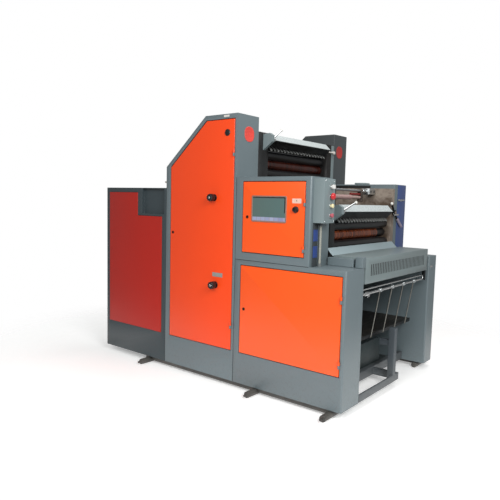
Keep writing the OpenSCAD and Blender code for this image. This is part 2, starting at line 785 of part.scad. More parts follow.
module selector_switch() color("#e8e8e4") {
    button(0, 13, 8);
    block([box_x1 + cap_off + 7, button_y - 4, button_z0 - 12], [box_x1 + cap_off + 18, button_y + 4, button_z0 + 12]);
}

module stop_button() color("#d22a2a") button(1, stop_r, 16);

module jog_button() color("#e8dfa8") button(2, 13, 10);

module start_button() color("#c9383c") button(3, 13, 10);

conduit_y = -half_w + 97;

module conduit() color("#cfcabb") translate([control_x1 + 15, conduit_y, lower_top]) {
    cylinder(h = box_top - 265 - lower_top, r = 8);
    cylinder(h = 18, r = 14);
    translate([0, 0, box_top - 265 - lower_top - 22]) cylinder(h = 22, r = 14);
}

base_rails();
skid_bars();
base_beams();
feeder_housing_near();
feeder_housing_far();
feeder_panel();
far_panels();
tower_housing_near();
tower_housing_far();
tower_door();
tower_knob_upper();
tower_knob_lower();
control_housing_near();
control_housing_far();
control_door();
touch_screen();
speed_knob();
lower_housing_near();
lower_housing_far();
lower_door();
side_frame_near();
side_frame_far();
tie_bars();
bulkhead();
tower_cover();
feed_board();
suction_head();
feeder_pile_board();
ink_duct_upper();
ink_duct_lower();
ink_keys_upper();
ink_keys_lower();
duct_lever_upper();
duct_lever_lower();
throw_off_lever();
duct_roller_upper();
ink_roller_upper();
form_roller_upper();
plate_cylinder_upper();
duct_roller_lower();
ink_roller_lower();
form_roller_lower();
plate_cylinder_lower();
spray_rod();
rubber_sleeve();
delivery_cover();
delivery_guard();
cover_blocks();
delivery_bars();
sheet_fingers();
pile_frame();
pile_guides();
pile_board();
button_box();
conduit();
selector_switch();
stop_button();
jog_button();
start_button();
name_plates();
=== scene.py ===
import json
from math import cos, pi, radians, sin

import bmesh
import bpy
import numpy as np
from mathutils import Matrix, Vector

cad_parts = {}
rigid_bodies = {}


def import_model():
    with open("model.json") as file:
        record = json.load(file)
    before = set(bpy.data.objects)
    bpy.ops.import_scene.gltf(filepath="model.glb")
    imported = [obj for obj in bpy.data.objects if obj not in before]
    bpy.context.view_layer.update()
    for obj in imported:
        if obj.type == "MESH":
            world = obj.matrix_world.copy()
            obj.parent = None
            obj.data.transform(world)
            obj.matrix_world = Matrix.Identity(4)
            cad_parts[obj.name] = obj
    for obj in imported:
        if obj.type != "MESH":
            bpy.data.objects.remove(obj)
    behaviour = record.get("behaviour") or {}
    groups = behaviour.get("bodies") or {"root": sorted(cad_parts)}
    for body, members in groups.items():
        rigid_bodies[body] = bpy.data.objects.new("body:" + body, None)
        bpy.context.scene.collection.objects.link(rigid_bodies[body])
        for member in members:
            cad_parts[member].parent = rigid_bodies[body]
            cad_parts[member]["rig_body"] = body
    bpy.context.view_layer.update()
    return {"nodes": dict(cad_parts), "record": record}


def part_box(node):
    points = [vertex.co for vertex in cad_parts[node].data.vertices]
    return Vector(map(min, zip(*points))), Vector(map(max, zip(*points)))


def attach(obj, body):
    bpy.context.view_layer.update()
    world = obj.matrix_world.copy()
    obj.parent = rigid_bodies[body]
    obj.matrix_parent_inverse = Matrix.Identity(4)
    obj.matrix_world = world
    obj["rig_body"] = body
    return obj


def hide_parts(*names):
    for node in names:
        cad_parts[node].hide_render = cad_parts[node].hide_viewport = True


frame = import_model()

mm = 0.001
scene = bpy.context.scene
scene.view_settings.view_transform = "Standard"

# ----------------------------------------
# The camera stands at the delivery end on the operator's side, at about chest
# height, and looks slightly down along the machine.

camera = bpy.data.objects.new("camera", bpy.data.cameras.new("camera"))
camera.data.sensor_width = 36
camera.data.lens = 38.2
yaw, pitch, roll = radians(38.43), radians(5.32), radians(1.414)
ahead = Vector((-sin(yaw) * cos(pitch), cos(yaw) * cos(pitch), -sin(pitch)))
aside = Vector((cos(yaw), sin(yaw), 0))
above = aside.cross(ahead)
right = aside * cos(roll) + above * sin(roll)
up = above * cos(roll) - aside * sin(roll)
place = Matrix((right, up, -ahead)).transposed().to_4x4()
place.translation = (2.543, -3.434, 1.281)
camera.matrix_world = place
scene.collection.objects.link(camera)
scene.camera = camera

# ----------------------------------------
# A plain studio: pale floor, pale air, one broad lamp on the delivery side and
# a weaker one over the operator's side, so that the feeder end falls darker.


def linear(hex_code):
    """The linear colour of an sRGB hex value, with alpha 1."""
    s = np.array([int(hex_code[i:i + 2], 16) / 255 for i in (1, 3, 5)])
    return (*np.where(s <= 0.04045, s / 12.92, ((s + 0.055) / 1.055) ** 2.4), 1.0)


def add(tree, kind, settings=None, links=None):
    """Adds one node; settings are its properties and sockets, links go from output sockets to its
    inputs."""
    node = tree.nodes.new(kind)
    for key, value in (settings or {}).items():
        if isinstance(key, str) and hasattr(node, key):
            setattr(node, key, value)
        else:
            node.inputs[key].default_value = value
    for key, output in (links or {}).items():
        tree.links.new(output, node.inputs[key])
    return node


def material(name, **sockets):
    """A new material with its shader's sockets set; returns material, tree, shader and object
    coordinates."""
    made = bpy.data.materials.new(name)
    made.use_nodes = True
    shader = made.node_tree.nodes["Principled BSDF"]
    for key, value in sockets.items():
        shader.inputs[key.replace("_", " ")].default_value = value
    coords = add(made.node_tree, "ShaderNodeTexCoord").outputs["Object"]
    return made, made.node_tree, shader, coords


def floor_paint():
    """Pale painted studio floor with a faint roller texture, which fades into the air away from
    the machine."""
    made, tree, shader, coords = material("studio_floor", Roughness=0.85, Specular_IOR_Level=0.2)
    away = add(tree, "ShaderNodeVectorMath", {"operation": "LENGTH"}, {"Vector": coords})
    fade = add(tree, "ShaderNodeMapRange", {"interpolation_type": "SMOOTHSTEP", "From Min": 1.5,
                                            "From Max": 2.9, "To Min": 1.0, "To Max": 0.0},
               {"Value": away.outputs["Value"]})
    tree.links.new(fade.outputs["Result"], shader.inputs["Alpha"])
    shader.inputs["Emission Color"].default_value = linear("#FFFFFF")
    shader.inputs["Emission Strength"].default_value = 0.3
    grain = add(tree, "ShaderNodeTexNoise", {"Scale": 40, "Detail": 3}, {"Vector": coords})
    shade = add(tree, "ShaderNodeMix", {"data_type": "RGBA", 6: linear("#F4F4F2"), 7: linear("#FAFAF9")},
                {0: grain.outputs["Fac"]})
    tree.links.new(shade.outputs[2], shader.inputs["Base Color"])
    return made


floor = bpy.data.objects.new("studio_floor", bpy.data.meshes.new("studio_floor"))
floor.data.from_pydata([(-30, -30, 0), (30, -30, 0), (30, 30, 0), (-30, 30, 0)], [], [(0, 1, 2, 3)])
floor.data.materials.append(floor_paint())
scene.collection.objects.link(floor)

world = bpy.data.worlds.new("studio_air")
world.use_nodes = True
seen = add(world.node_tree, "ShaderNodeLightPath").outputs["Is Camera Ray"]
strength = add(world.node_tree, "ShaderNodeMapRange", {"To Min": 0.3, "To Max": 1.0}, {"Value": seen})
background = world.node_tree.nodes["Background"]
background.inputs["Color"].default_value = linear("#FFFFFF")
world.node_tree.links.new(strength.outputs["Result"], background.inputs["Strength"])
scene.world = world


def lamp(name, at, aim, size, watts):
    """A square soft box at a point, turned towards another."""
    made = bpy.data.objects.new(name, bpy.data.lights.new(name, "AREA"))
    made.data.shape = "SQUARE"
    made.data.size = size
    made.data.energy = watts
    made.location = at
    made.rotation_euler = (Vector(aim) - Vector(at)).to_track_quat("-Z", "Y").to_euler()
    scene.collection.objects.link(made)


lamp("delivery_lamp", (3.6, -2.4, 2.6), (0.6, -0.3, 0.7), 1.6, 122)
lamp("front_lamp", (1.2, -4.6, 3.0), (0.3, -0.7, 0.9), 2.2, 105)
lamp("top_lamp", (0.8, 0.8, 4.2), (0.3, 0.0, 1.0), 2.5, 70)

# ----------------------------------------
# Skid bars and base rails: round steel bars across the floor and black welded
# rails on them, brushed with black machine enamel and scuffed by moving.


def surface(tree, shader, colour, rough, wear, bump, height):
    """Joins a finish to its shader: roughness runs over a range with wear, bumps have a strength
    and a depth in mm."""
    tree.links.new(colour, shader.inputs["Base Color"])
    gloss = add(tree, "ShaderNodeMapRange", {"To Min": rough[0], "To Max": rough[1]}, {"Value": wear})
    tree.links.new(gloss.outputs["Result"], shader.inputs["Roughness"])
    relief = add(tree, "ShaderNodeBump", {"Strength": bump[0], "Distance": bump[1] * mm},
                 {"Height": height})
    tree.links.new(relief.outputs["Normal"], shader.inputs["Normal"])


def enamel(name, hex_code, rough=0.45, dust=0.25):
    """Brushed machine enamel: even colour, faint brush marks and grey dust that gathers low down."""
    made, tree, shader, coords = material(name, Specular_IOR_Level=0.45)
    marks = add(tree, "ShaderNodeTexNoise", {"Scale": 1 / (6 * mm), "Detail": 4}, {"Vector": coords})
    cloud = add(tree, "ShaderNodeTexNoise", {"Scale": 1 / (90 * mm), "Detail": 5}, {"Vector": coords})
    height = add(tree, "ShaderNodeSeparateXYZ", None, {"Vector": coords})
    low = add(tree, "ShaderNodeMapRange", {"From Min": 0.25, "From Max": 0.0, "To Max": dust},
              {"Value": height.outputs["Z"]})
    mask = add(tree, "ShaderNodeMath", {"operation": "MULTIPLY"},
               {0: cloud.outputs["Fac"], 1: low.outputs["Result"]})
    tone = add(tree, "ShaderNodeMix", {"data_type": "RGBA", 6: linear(hex_code), 7: linear("#8C8880")},
               {0: mask.outputs[0]})
    surface(tree, shader, tone.outputs[2], (rough - 0.1, rough + 0.15), cloud.outputs["Fac"], (0.25, 0.3),
            marks.outputs["Fac"])
    return made


def finish_piece(piece, paint, body):
    """Gives a new piece its material, links it and lets it ride on a body."""
    piece.data.materials.clear()
    piece.data.materials.append(paint)
    if piece.name not in scene.collection.objects:
        scene.collection.objects.link(piece)
    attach(piece, body)
    return piece


slots = {s["node"]: s["material_slot"] for s in frame["record"]["subparts"]}


def eased(node, paint, width=1.5, steps=2):
    """A copy of a CAD node whose sharp edges are eased by a bevel of that width in mm; it replaces
    the node."""
    source = frame["nodes"][node]
    shape = bmesh.new()
    shape.from_mesh(source.data)
    bmesh.ops.remove_doubles(shape, verts=shape.verts, dist=1e-6)
    bmesh.ops.dissolve_limit(shape, angle_limit=radians(0.5), verts=shape.verts, edges=shape.edges)
    mesh = bpy.data.meshes.new(node + "_finish")
    shape.to_mesh(mesh)
    shape.free()
    piece = bpy.data.objects.new(mesh.name, mesh)
    mesh.polygons.foreach_set("use_smooth", [True] * len(mesh.polygons))
    bevel = piece.modifiers.new("eased", "BEVEL")
    bevel.width = width * mm
    bevel.segments = steps
    bevel.limit_method = "ANGLE"
    bevel.angle_limit = radians(35)
    bevel.harden_normals = True
    finish_piece(piece, paint, source["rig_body"])
    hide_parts(node)
    return piece


black_enamel = enamel("black_machine_enamel", "#15171A", dust=0.5)
eased("base_rails", black_enamel, 1.5)
eased("skid_bars", black_enamel, 2.5, 3)
grey_enamel = enamel("grey_machine_enamel", "#464D52", dust=0.35)
eased("base_beams", grey_enamel, 3)
eased("pile_frame", grey_enamel, 3, 3)

# ----------------------------------------
# Housings: folded sheet steel, powder coated in blue-grey, with a fine orange
# peel, welded and ground at the folds, and left dull by handling low down.


def powder_coat(name, hex_code, rough=0.42, peel=1.4, spread=0.05, grime=0.0):
    """Powder coat: orange peel of that pitch in mm, slow drift in tone, and grime near the floor."""
    made, tree, shader, coords = material(name, Specular_IOR_Level=0.5)
    shader.inputs["Coat Weight"].default_value = 0.12
    shader.inputs["Coat Roughness"].default_value = 0.3
    skin = add(tree, "ShaderNodeTexNoise", {"Scale": 1 / (peel * 3 * mm), "Detail": 2}, {"Vector": coords})
    drift = add(tree, "ShaderNodeTexNoise", {"Scale": 2.2, "Detail": 4, "Roughness": 0.6},
                {"Vector": coords})
    specks = add(tree, "ShaderNodeTexNoise", {"Scale": 1 / (14 * mm), "Detail": 8, "Roughness": 0.75},
                 {"Vector": coords})
    colour = np.array(linear(hex_code))
    tone = add(tree, "ShaderNodeMix", {"data_type": "RGBA", 6: (*(colour[:3] * (1 - spread)), 1),
                                       7: (*(colour[:3] * (1 + spread)), 1)}, {0: drift.outputs["Fac"]})
    height = add(tree, "ShaderNodeSeparateXYZ", None, {"Vector": coords})
    low = add(tree, "ShaderNodeMapRange", {"From Min": 0.35, "From Max": 0.05, "To Max": 0.5 + grime},
              {"Value": height.outputs["Z"]})
    spots = add(tree, "ShaderNodeMapRange", {"From Min": 0.52, "From Max": 0.72},
                {"Value": specks.outputs["Fac"]})
    mask = add(tree, "ShaderNodeMath", {"operation": "MULTIPLY"},
               {0: spots.outputs["Result"], 1: low.outputs["Result"]})
    dirty = add(tree, "ShaderNodeMix", {"data_type": "RGBA", 7: linear("#4A4742")},
                {0: mask.outputs[0], 6: tone.outputs[2]})
    surface(tree, shader, dirty.outputs[2], (rough - 0.08, rough + 0.14), specks.outputs["Fac"],
            (0.35, 0.15), skin.outputs["Fac"])
    return made


grey_coat = powder_coat("powder_coat_blue_grey", "#626E72")
# The feeder housings get a darker copy of the blue-grey coat: painted shade for the feeder end, far from
# the lamps.
feeder_grey_painted_shade = powder_coat("powder_coat_feeder_grey_painted_shade", "#343E42")
dark_coat = powder_coat("powder_coat_dark_grey", "#3E4345")
blue_coat = powder_coat("powder_coat_slate_blue", "#3A4C7C")
pale_coat = powder_coat("powder_coat_pale_grey", "#727F81")

for node, coat in (("feeder_housing_near", feeder_grey_painted_shade), ("feeder_housing_far", feeder_grey_painted_shade),
                   ("tower_housing_near", grey_coat), ("tower_housing_far", dark_coat),
                   ("control_housing_near", grey_coat), ("control_housing_far", grey_coat),
                   ("lower_housing_near", grey_coat), ("lower_housing_far", grey_coat),
                   ("tower_cover", grey_coat)):
    eased(node, coat, 1.2 if coat == feeder_grey_painted_shade else 3, 3)
bulkhead_paint = enamel("dark_green_enamel", "#16272A", 0.5)
eased("bulkhead", bulkhead_paint, 1)

# ----------------------------------------
# Doors and fixed panels: pans of 2 mm steel sheet with a folded rim, powder
# coated orange. A door's front is flat.


def grid_faces(rows, cols):
    """Quads between neighbouring rows of a grid whose columns close on themselves."""
    r, c = np.meshgrid(np.arange(rows - 1), np.arange(cols), indexing="ij")
    n = (c + 1) % cols
    return np.stack([r * cols + c, r * cols + n, (r + 1) * cols + n, (r + 1) * cols + c], -1).reshape(-1, 4)


def skin(points):
    """A closed skin over points[row, column, xyz]: columns close on themselves and flat caps shut
    the end rows."""
    rows, cols = points.shape[:2]
    caps = [list(range(cols))[::-1], list(range((rows - 1) * cols, rows * cols))]
    return points.reshape(-1, 3), grid_faces(rows, cols).tolist() + caps


def copies(part, shifts):
    """One part repeated at several shifts, as one list of points and faces."""
    points, faces = part
    moved = (points[None] + np.array(shifts, float)[:, None]).reshape(-1, 3)
    return moved, [[i + k * len(points) for i in f] for k in range(len(shifts)) for f in faces]


def piece(name, parts, paint, body, slot=None, stands_for=(), crease=32):
    """Joins closed parts into one piece with outward faces, smooth but for edges over the crease angle."""
    points, faces = [], []
    for p, f in parts:
        faces += [[i + len(points) for i in one] for one in f] if len(points) else [list(one) for one in f]
        points = np.vstack([points, p]) if len(points) else np.asarray(p, float)
    mesh = bpy.data.meshes.new(name)
    mesh.from_pydata(points.tolist(), [], faces)
    shape = bmesh.new()
    shape.from_mesh(mesh)
    bmesh.ops.recalc_face_normals(shape, faces=shape.faces)
    shape.to_mesh(mesh)
    shape.free()
    mesh.polygons.foreach_set("use_smooth", [True] * len(mesh.polygons))
    mesh.set_sharp_from_angle(angle=radians(crease))
    made = finish_piece(bpy.data.objects.new(name, mesh), paint, body)
    if stands_for:
        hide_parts(*stands_for)
    return made


def rounded(corners, radius, steps=4):
    """A closed outline with each corner turned into an arc that touches both its sides."""
    p = np.array(corners, float)
    arcs = []
    for a, b, c in zip(np.roll(p, 1, 0), p, np.roll(p, -1, 0)):
        u, v = (a - b) / np.linalg.norm(a - b), (c - b) / np.linalg.norm(c - b)
        half = np.arccos(np.clip(u @ v, -1, 1)) / 2
        start, end = b + u * radius / np.tan(half), b + v * radius / np.tan(half)
        middle = b + (u + v) / np.linalg.norm(u + v) * radius / np.sin(half)
        t = np.linspace(0, 1, steps + 1)[:, None]
        spoke = (start - middle) * (1 - t) + (end - middle) * t
        arcs.append(middle + spoke / np.linalg.norm(spoke, axis=1, keepdims=True) * radius)
    return np.vstack(arcs)


def inset(outline, d):
    """The outline moved inwards by d, each corner along the mitre of its two sides."""
    side = np.roll(outline, -1, 0) - outline
    normal = np.stack([-side[:, 1], side[:, 0]], 1) / np.linalg.norm(side, axis=1, keepdims=True)
    x, y = outline.T
    if (x * np.roll(y, -1) - np.roll(x, -1) * y).sum() < 0:
        normal = -normal
    before = np.roll(normal, 1, 0)
    return outline + d * (normal + before) / (1 + (normal * before).sum(1, keepdims=True))


def walled(outline, levels, plane="xz"):
    """A profile of (inset, depth) levels carried round an outline that lies in the named plane,
    with both ends shut."""
    rows = [np.insert(inset(outline, d), {"xz": 1, "yz": 0, "xy": 2}[plane], depth, axis=1)
            for d, depth in levels]
    return skin(np.array(rows))


def box(lo, hi, ease=1.0):
    """A block between two corners with its edges broken by ease mm."""
    lo, hi, e = np.array(lo, float), np.array(hi, float), ease * mm
    plan = rounded([(lo[0], lo[1]), (hi[0], lo[1]), (hi[0], hi[1]), (lo[0], hi[1])], e, 2)
    return walled(plan, [(e, lo[2]), (0, lo[2] + e), (0, hi[2] - e), (e, hi[2])], "xy")


def metres(*rows):
    """Rows of figures in millimetres, as tuples in metres."""
    return [tuple(figure * mm for figure in row) for row in rows]


def turned(profile, centre, axis, sides=40, lobes=0, depth=0.0):
    """A turned shape: (along, radius) pairs swept about an axis, with lobes flutes of that share
    of the radius."""
    along, radius = np.array(profile, float).T
    angle = np.linspace(0, 2 * pi, sides, endpoint=False)
    r = radius[:, None] * (1 + depth * np.cos(lobes * angle)[None])
    a, b = r * np.cos(angle), r * np.sin(angle)
    length = np.broadcast_to(along[:, None], a.shape)
    order = {"x": (length, a, b), "y": (b, length, a), "z": (a, b, length)}[axis]
    return skin(np.stack(order, -1) + np.array(centre, float))


def steel(name, hex_code, rough=0.3, lay=0.5, grime=0.3):
    """Bare machined steel: fine tool marks across Y of that pitch in mm, and a thin film of oil
    and dirt."""
    made, tree, shader, coords = material(name, Metallic=1.0)
    lines = add(tree, "ShaderNodeTexWave", {"wave_type": "BANDS", "bands_direction": "Y",
                                            "Scale": 1 / (lay * 20 * mm), "Distortion": 6.0, "Detail": 3},
                {"Vector": coords})
    film = add(tree, "ShaderNodeTexNoise", {"Scale": 1 / (35 * mm), "Detail": 6, "Roughness": 0.65},
               {"Vector": coords})
    mask = add(tree, "ShaderNodeMapRange", {"From Min": 0.45, "From Max": 0.75, "To Max": grime},
               {"Value": film.outputs["Fac"]})
    tone = add(tree, "ShaderNodeMix", {"data_type": "RGBA", 6: linear(hex_code), 7: linear("#3A3632")},
               {0: mask.outputs["Result"]})
    surface(tree, shader, tone.outputs[2], (rough - 0.06, rough + 0.14), film.outputs["Fac"], (0.2, 0.05),
            lines.outputs["Fac"])
    return made


orange_coat = powder_coat("powder_coat_orange", "#EF530E", rough=0.34, spread=0.03)
tower_orange = powder_coat("powder_coat_tower_orange", "#E9440A", rough=0.34, spread=0.03)
# A darker copy of the orange coat for the feeder panel: painted shade for the feeder end, far from the
# lamps.
feeder_orange_painted_shade = powder_coat("powder_coat_feeder_orange_painted_shade", "#A61604", rough=0.4, spread=0.05)
bright_steel = steel("turned_steel", "#C4C6C6")
chrome = steel("hard_chrome", "#DADCDC", 0.14, 0.3, 0.12)
black_steel = steel("blackened_steel", "#2E3133", 0.42, 0.5, 0.2)

door_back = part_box("tower_door")[1].y
door_face = door_back - 22 * mm
hinge_axis_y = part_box("tower_housing_near")[0].y + 6 * mm


def pan(outline, face, back, fold=2.5, rim=16, sheet=2.0):
    """A folded sheet pan: front skin, rolled edge, rim of that width in mm and an open back."""
    f, turn = fold * mm, np.linspace(0, pi / 2, 4)
    toward = 1 if back > face else -1
    front = [(f * (1 - cos(t)), face + toward * f * (1 - sin(t))) for t in turn]
    return walled(outline, [(rim * mm, face + toward * sheet * mm), (rim * mm, back - toward * 0.5 * mm),
                            (rim * mm - 0.5 * mm, back), (0.5 * mm, back),
                            (0, back - toward * 0.5 * mm)] + front)


def knuckle(x, z, length=20):
    """The turned barrel of a lift-off hinge, with a small groove at each end."""
    r, h = 6 * mm, length * mm
    profile = [(0, r - 1 * mm), (1 * mm, r), (3 * mm, r), (3.4 * mm, r - 0.4 * mm), (3.8 * mm, r),
               (h - 3.8 * mm, r), (h - 3.4 * mm, r - 0.4 * mm), (h - 3 * mm, r), (h - 1 * mm, r),
               (h, r - 1 * mm)]
    return turned(profile, (x, hinge_axis_y, z), "z", 28)


def screw(x, y, z, r, axis="y", out=-1):
    """A pan-head screw with a socket, standing out of a face."""
    profile = [(0.2 * mm, r), (0, r), (out * 0.35 * r, r), (out * 0.6 * r, 0.8 * r),
               (out * 0.68 * r, 0.5 * r), (out * 0.3 * r, 0.42 * r), (out * 0.3 * r, 0.05 * r)]
    return turned(profile, (x, y, z), axis, 16)


# Each door's hinge axis in X, and the foot of its two hinges in Z, in mm.
doors = {
    "tower_door": (251.5, (434, 1592)),
    "control_door": (814.5, (995, 1275)),
    "lower_door": (1086.5, (336, 719))}
shoulder = 1506.85 * mm


def door_outline(node):
    """A door's outline in X and Z from its CAD box; the tower door has its sloped shoulder."""
    lo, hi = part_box(node)
    edge = doors[node][0] * mm - 2.5 * mm
    if node != "tower_door":
        return [(lo.x, lo.z), (edge, lo.z), (edge, hi.z), (lo.x, hi.z)]
    rise = 338 / 386
    return [(lo.x, lo.z), (edge, lo.z), (edge, hi.z), (lo.x + (hi.z - shoulder) / rise, hi.z),
            (lo.x, shoulder)]


for node, (hinge_x, hinge_z) in doors.items():
    parts = [pan(rounded(door_outline(node), 3 * mm), door_face, door_back)]
    lo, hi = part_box(node)
    for z in hinge_z:
        x = hinge_x * mm
        parts.append(knuckle(x, z * mm))
        parts.append(box((x - 13 * mm, door_face - 3 * mm, z * mm),
                         (x, door_face + 1 * mm, (z + 20) * mm), 0.5))
        parts.append(copies(screw(x - 9 * mm, door_face - 3 * mm, z * mm, 2.2 * mm),
                            metres((0, 0, 5), (0, 0, 15))))
    for share in (0.33, 0.67):
        x = lo.x + (hinge_x * mm - lo.x) * share
        top = hi.z - (45 + (190 if node == "tower_door" and share < 0.5 else 0)) * mm
        parts.append(box((x - 22 * mm, door_face + 1.5 * mm, lo.z + 25 * mm),
                         (x + 22 * mm, door_face + 12 * mm, top), 2))
    coat = tower_orange if node == "tower_door" else orange_coat
    piece(node + "_pan", parts, coat, node, "orange_paint", (node,))

# The feeder panel wears the darker orange copy, as painted shade.
eased("feeder_panel", feeder_orange_painted_shade, 2, 3)
eased("far_panels", orange_coat, 2, 3)

# ----------------------------------------
# Door furniture: quarter-turn locks, a rubber plug, the pins of the hand knobs
# and plain label plates with nothing written on them.


def moulded(name, hex_code, rough=0.4, grain=0.6):
    """Moulded plastic with a fine spark-eroded grain of that size in mm, a little uneven in gloss."""
    made, tree, shader, coords = material(name, Specular_IOR_Level=0.5, IOR=1.5)
    tiny = add(tree, "ShaderNodeTexNoise", {"Scale": 1 / (grain * 2 * mm), "Detail": 2}, {"Vector": coords})
    soft = add(tree, "ShaderNodeTexNoise", {"Scale": 1 / (20 * mm), "Detail": 4}, {"Vector": coords})
    colour = np.array(linear(hex_code))
    tone = add(tree, "ShaderNodeMix", {"data_type": "RGBA", 6: (*(colour[:3] * 0.9), 1),
                                       7: (*colour[:3] * 1.06, 1)}, {0: soft.outputs["Fac"]})
    surface(tree, shader, tone.outputs[2], (rough - 0.05, rough + 0.12), soft.outputs["Fac"],
            (0.15, 0.05), tiny.outputs["Fac"])
    return made


black_plastic = moulded("black_phenolic", "#161617", 0.38)
white_plate = moulded("white_label_plate", "#CFCBC4", 0.5)


def lock(x, z):
    """A quarter-turn lock: a round cup with a raised slotted core."""
    profile = metres((1, 10), (-1.5, 10), (-3, 9), (-3, 7), (-1, 6.5), (-1, 4.5), (-2.5, 4), (-2.5, 0.2))
    return turned(profile, (x, door_face, z), "y", 32)


for node, x, z in (("tower_door", -323, 1036), ("control_door", 374, 1175), ("lower_door", 361, 564)):
    piece(node + "_lock", [lock(x * mm, z * mm)], black_steel, node)
plug_profile = metres((1, 23), (-1, 23), (-5, 20), (-6.5, 15), (-7, 0.2))
piece("tower_plug", [turned(plug_profile, (189 * mm, door_face, 1727 * mm), "y")], black_plastic,
      "tower_door")
knob_centres = [(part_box(n)[0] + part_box(n)[1]) / 2 for n in ("tower_knob_upper", "tower_knob_lower")]
pin_rods = [turned([(0, 5 * mm), (0.045, 6 * mm)], (c.x, door_face - 43 * mm, c.z), "y", 24)
            for c in knob_centres]
rings = [turned([(0.001, 24 * mm), (-0.002, 24 * mm), (-0.0035, 22 * mm), (-0.0035, 8 * mm)],
                (c.x, door_face, c.z), "y", 48) for c in knob_centres]
piece("knob_pins", pin_rods + rings, black_steel, "tower_door")
speed = (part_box("speed_knob")[0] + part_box("speed_knob")[1]) / 2
piece("speed_knob_pin", [turned([(0, 4 * mm), (0.018, 4 * mm)], (speed.x, door_face - 17 * mm, speed.z),
                                "y", 24),
                         turned([(0.001, 19 * mm), (-0.0015, 19 * mm), (-0.0025, 17 * mm),
                                 (-0.0025, 6 * mm)], (speed.x, door_face, speed.z), "y", 40)],
      black_steel, "control_door")


def plate(x0, x1, z0, z1, face, thick=1.2):
    """A thin plate with round corners, lying on an operator-side face."""
    outline = rounded(metres((x0, z0), (x1, z0), (x1, z1), (x0, z1)), 3 * mm, 3)
    return walled(outline, [(0, face + 0.3 * mm), (0, face - thick * mm + 0.3 * mm),
                            (0.3 * mm, face - thick * mm)])


piece("control_label", [plate(722, 788, 1271, 1300, door_face)], moulded("rose_white_plate", "#D9B6A6",
                                                                         0.5), "control_door")
label_stud = turned(metres((0, 3.5), (-1.6, 3.5), (-2.2, 2.5)), (755 * mm, door_face, 1286 * mm), "y", 20)
piece("control_label_stud", [label_stud], black_plastic, "control_door")
piece("tower_label", [plate(153, 201, 1830, 1843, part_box("tower_housing_near")[0].y + 14 * mm)],
      white_plate, "root")
piece("knob_label", [plate(75, 168, 753, 782, door_face)], moulded("grey_label_plate", "#8B8B86", 0.5),
      "tower_door")

# ----------------------------------------
# Hand knobs: moulded black phenolic with ten flutes, and a turned steel
# cap in the middle. They turn on pins of the tower door.


def hand_knob(node):
    """A fluted grip with a hollow back, turned from the door outwards, and a domed steel cap at
    its middle."""
    lo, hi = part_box(node)
    r, cx, cz = (hi.x - lo.x) / 2, (lo.x + hi.x) / 2, (lo.z + hi.z) / 2
    grip = [(0, 0.5 * r), (0, 0.62 * r), (0.006, 0.62 * r), (0.010, 0.9 * r), (0.013, 0.95 * r),
            (0.040, 0.95 * r), (0.046, 0.9 * r), (0.0485, 0.8 * r), (0.0485, 0.45 * r), (0.046, 0.42 * r),
            (0.046, 0.05 * r)]
    piece(node + "_grip", [turned([(-a, b) for a, b in grip], (cx, hi.y, cz), "y", 80, 10, 0.05)],
          black_plastic, node, "black_plastic", (node,))
    cap = [(0.004, 9 * mm), (-0.001, 9 * mm), (-0.0025, 8 * mm), (-0.003, 4 * mm), (-0.003, 0.2 * mm)]
    piece(node + "_cap", [turned(cap, (cx, lo.y + 4 * mm, cz), "y", 40)], chrome, node)


hand_knob("tower_knob_upper")
hand_knob("tower_knob_lower")
lo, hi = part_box("speed_knob")
small = [(0, 19 * mm), (-0.003, 20 * mm), (-0.005, 17 * mm), (-0.016, 15.5 * mm), (-0.018, 14 * mm),
         (-0.018, 0.3 * mm)]
piece("speed_knob_grip", [turned(small, (speed.x, hi.y, speed.z), "y", 72, 18, 0.02)], black_plastic,
      "speed_knob", "black_plastic", ("speed_knob",))
piece("speed_knob_dot", [turned([(0.001, 4 * mm), (-0.0004, 4 * mm), (-0.0004, 0.2 * mm)],
                                (speed.x - 2 * mm, lo.y + 0.4 * mm, speed.z + 3 * mm), "y", 20)],
      white_plate, "speed_knob")

# ----------------------------------------
# Operator panel: a moulded bezel with a slightly sunken display, screwed to the
# control door. The display shows only plain fields, with nothing written.

lo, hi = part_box("touch_screen")
front, rim = lo.y, 7 * mm


def screen_ring(d, radius, y):
    """The screen's outline, pulled in by d with corners of that radius, as a row of points at a depth."""
    corners = [(lo.x + d, lo.z + d), (hi.x - d, lo.z + d), (hi.x - d, hi.z - d), (lo.x + d, hi.z - d)]
    return np.insert(rounded(corners, radius, 5), 1, y, axis=1)


bezel = skin(np.array([screen_ring(0, 10 * mm, door_face + 0.3 * mm),
                       screen_ring(0, 10 * mm, front + 1.5 * mm), screen_ring(1.5 * mm, 9 * mm, front),
                       screen_ring(rim, 4 * mm, front),
                       screen_ring(rim + 1.5 * mm, 3 * mm, front + 2 * mm)]))
piece("screen_bezel", [bezel], moulded("warm_grey_abs", "#8A6A5C", 0.42), "control_door", "screen_glass",
      ("touch_screen",))


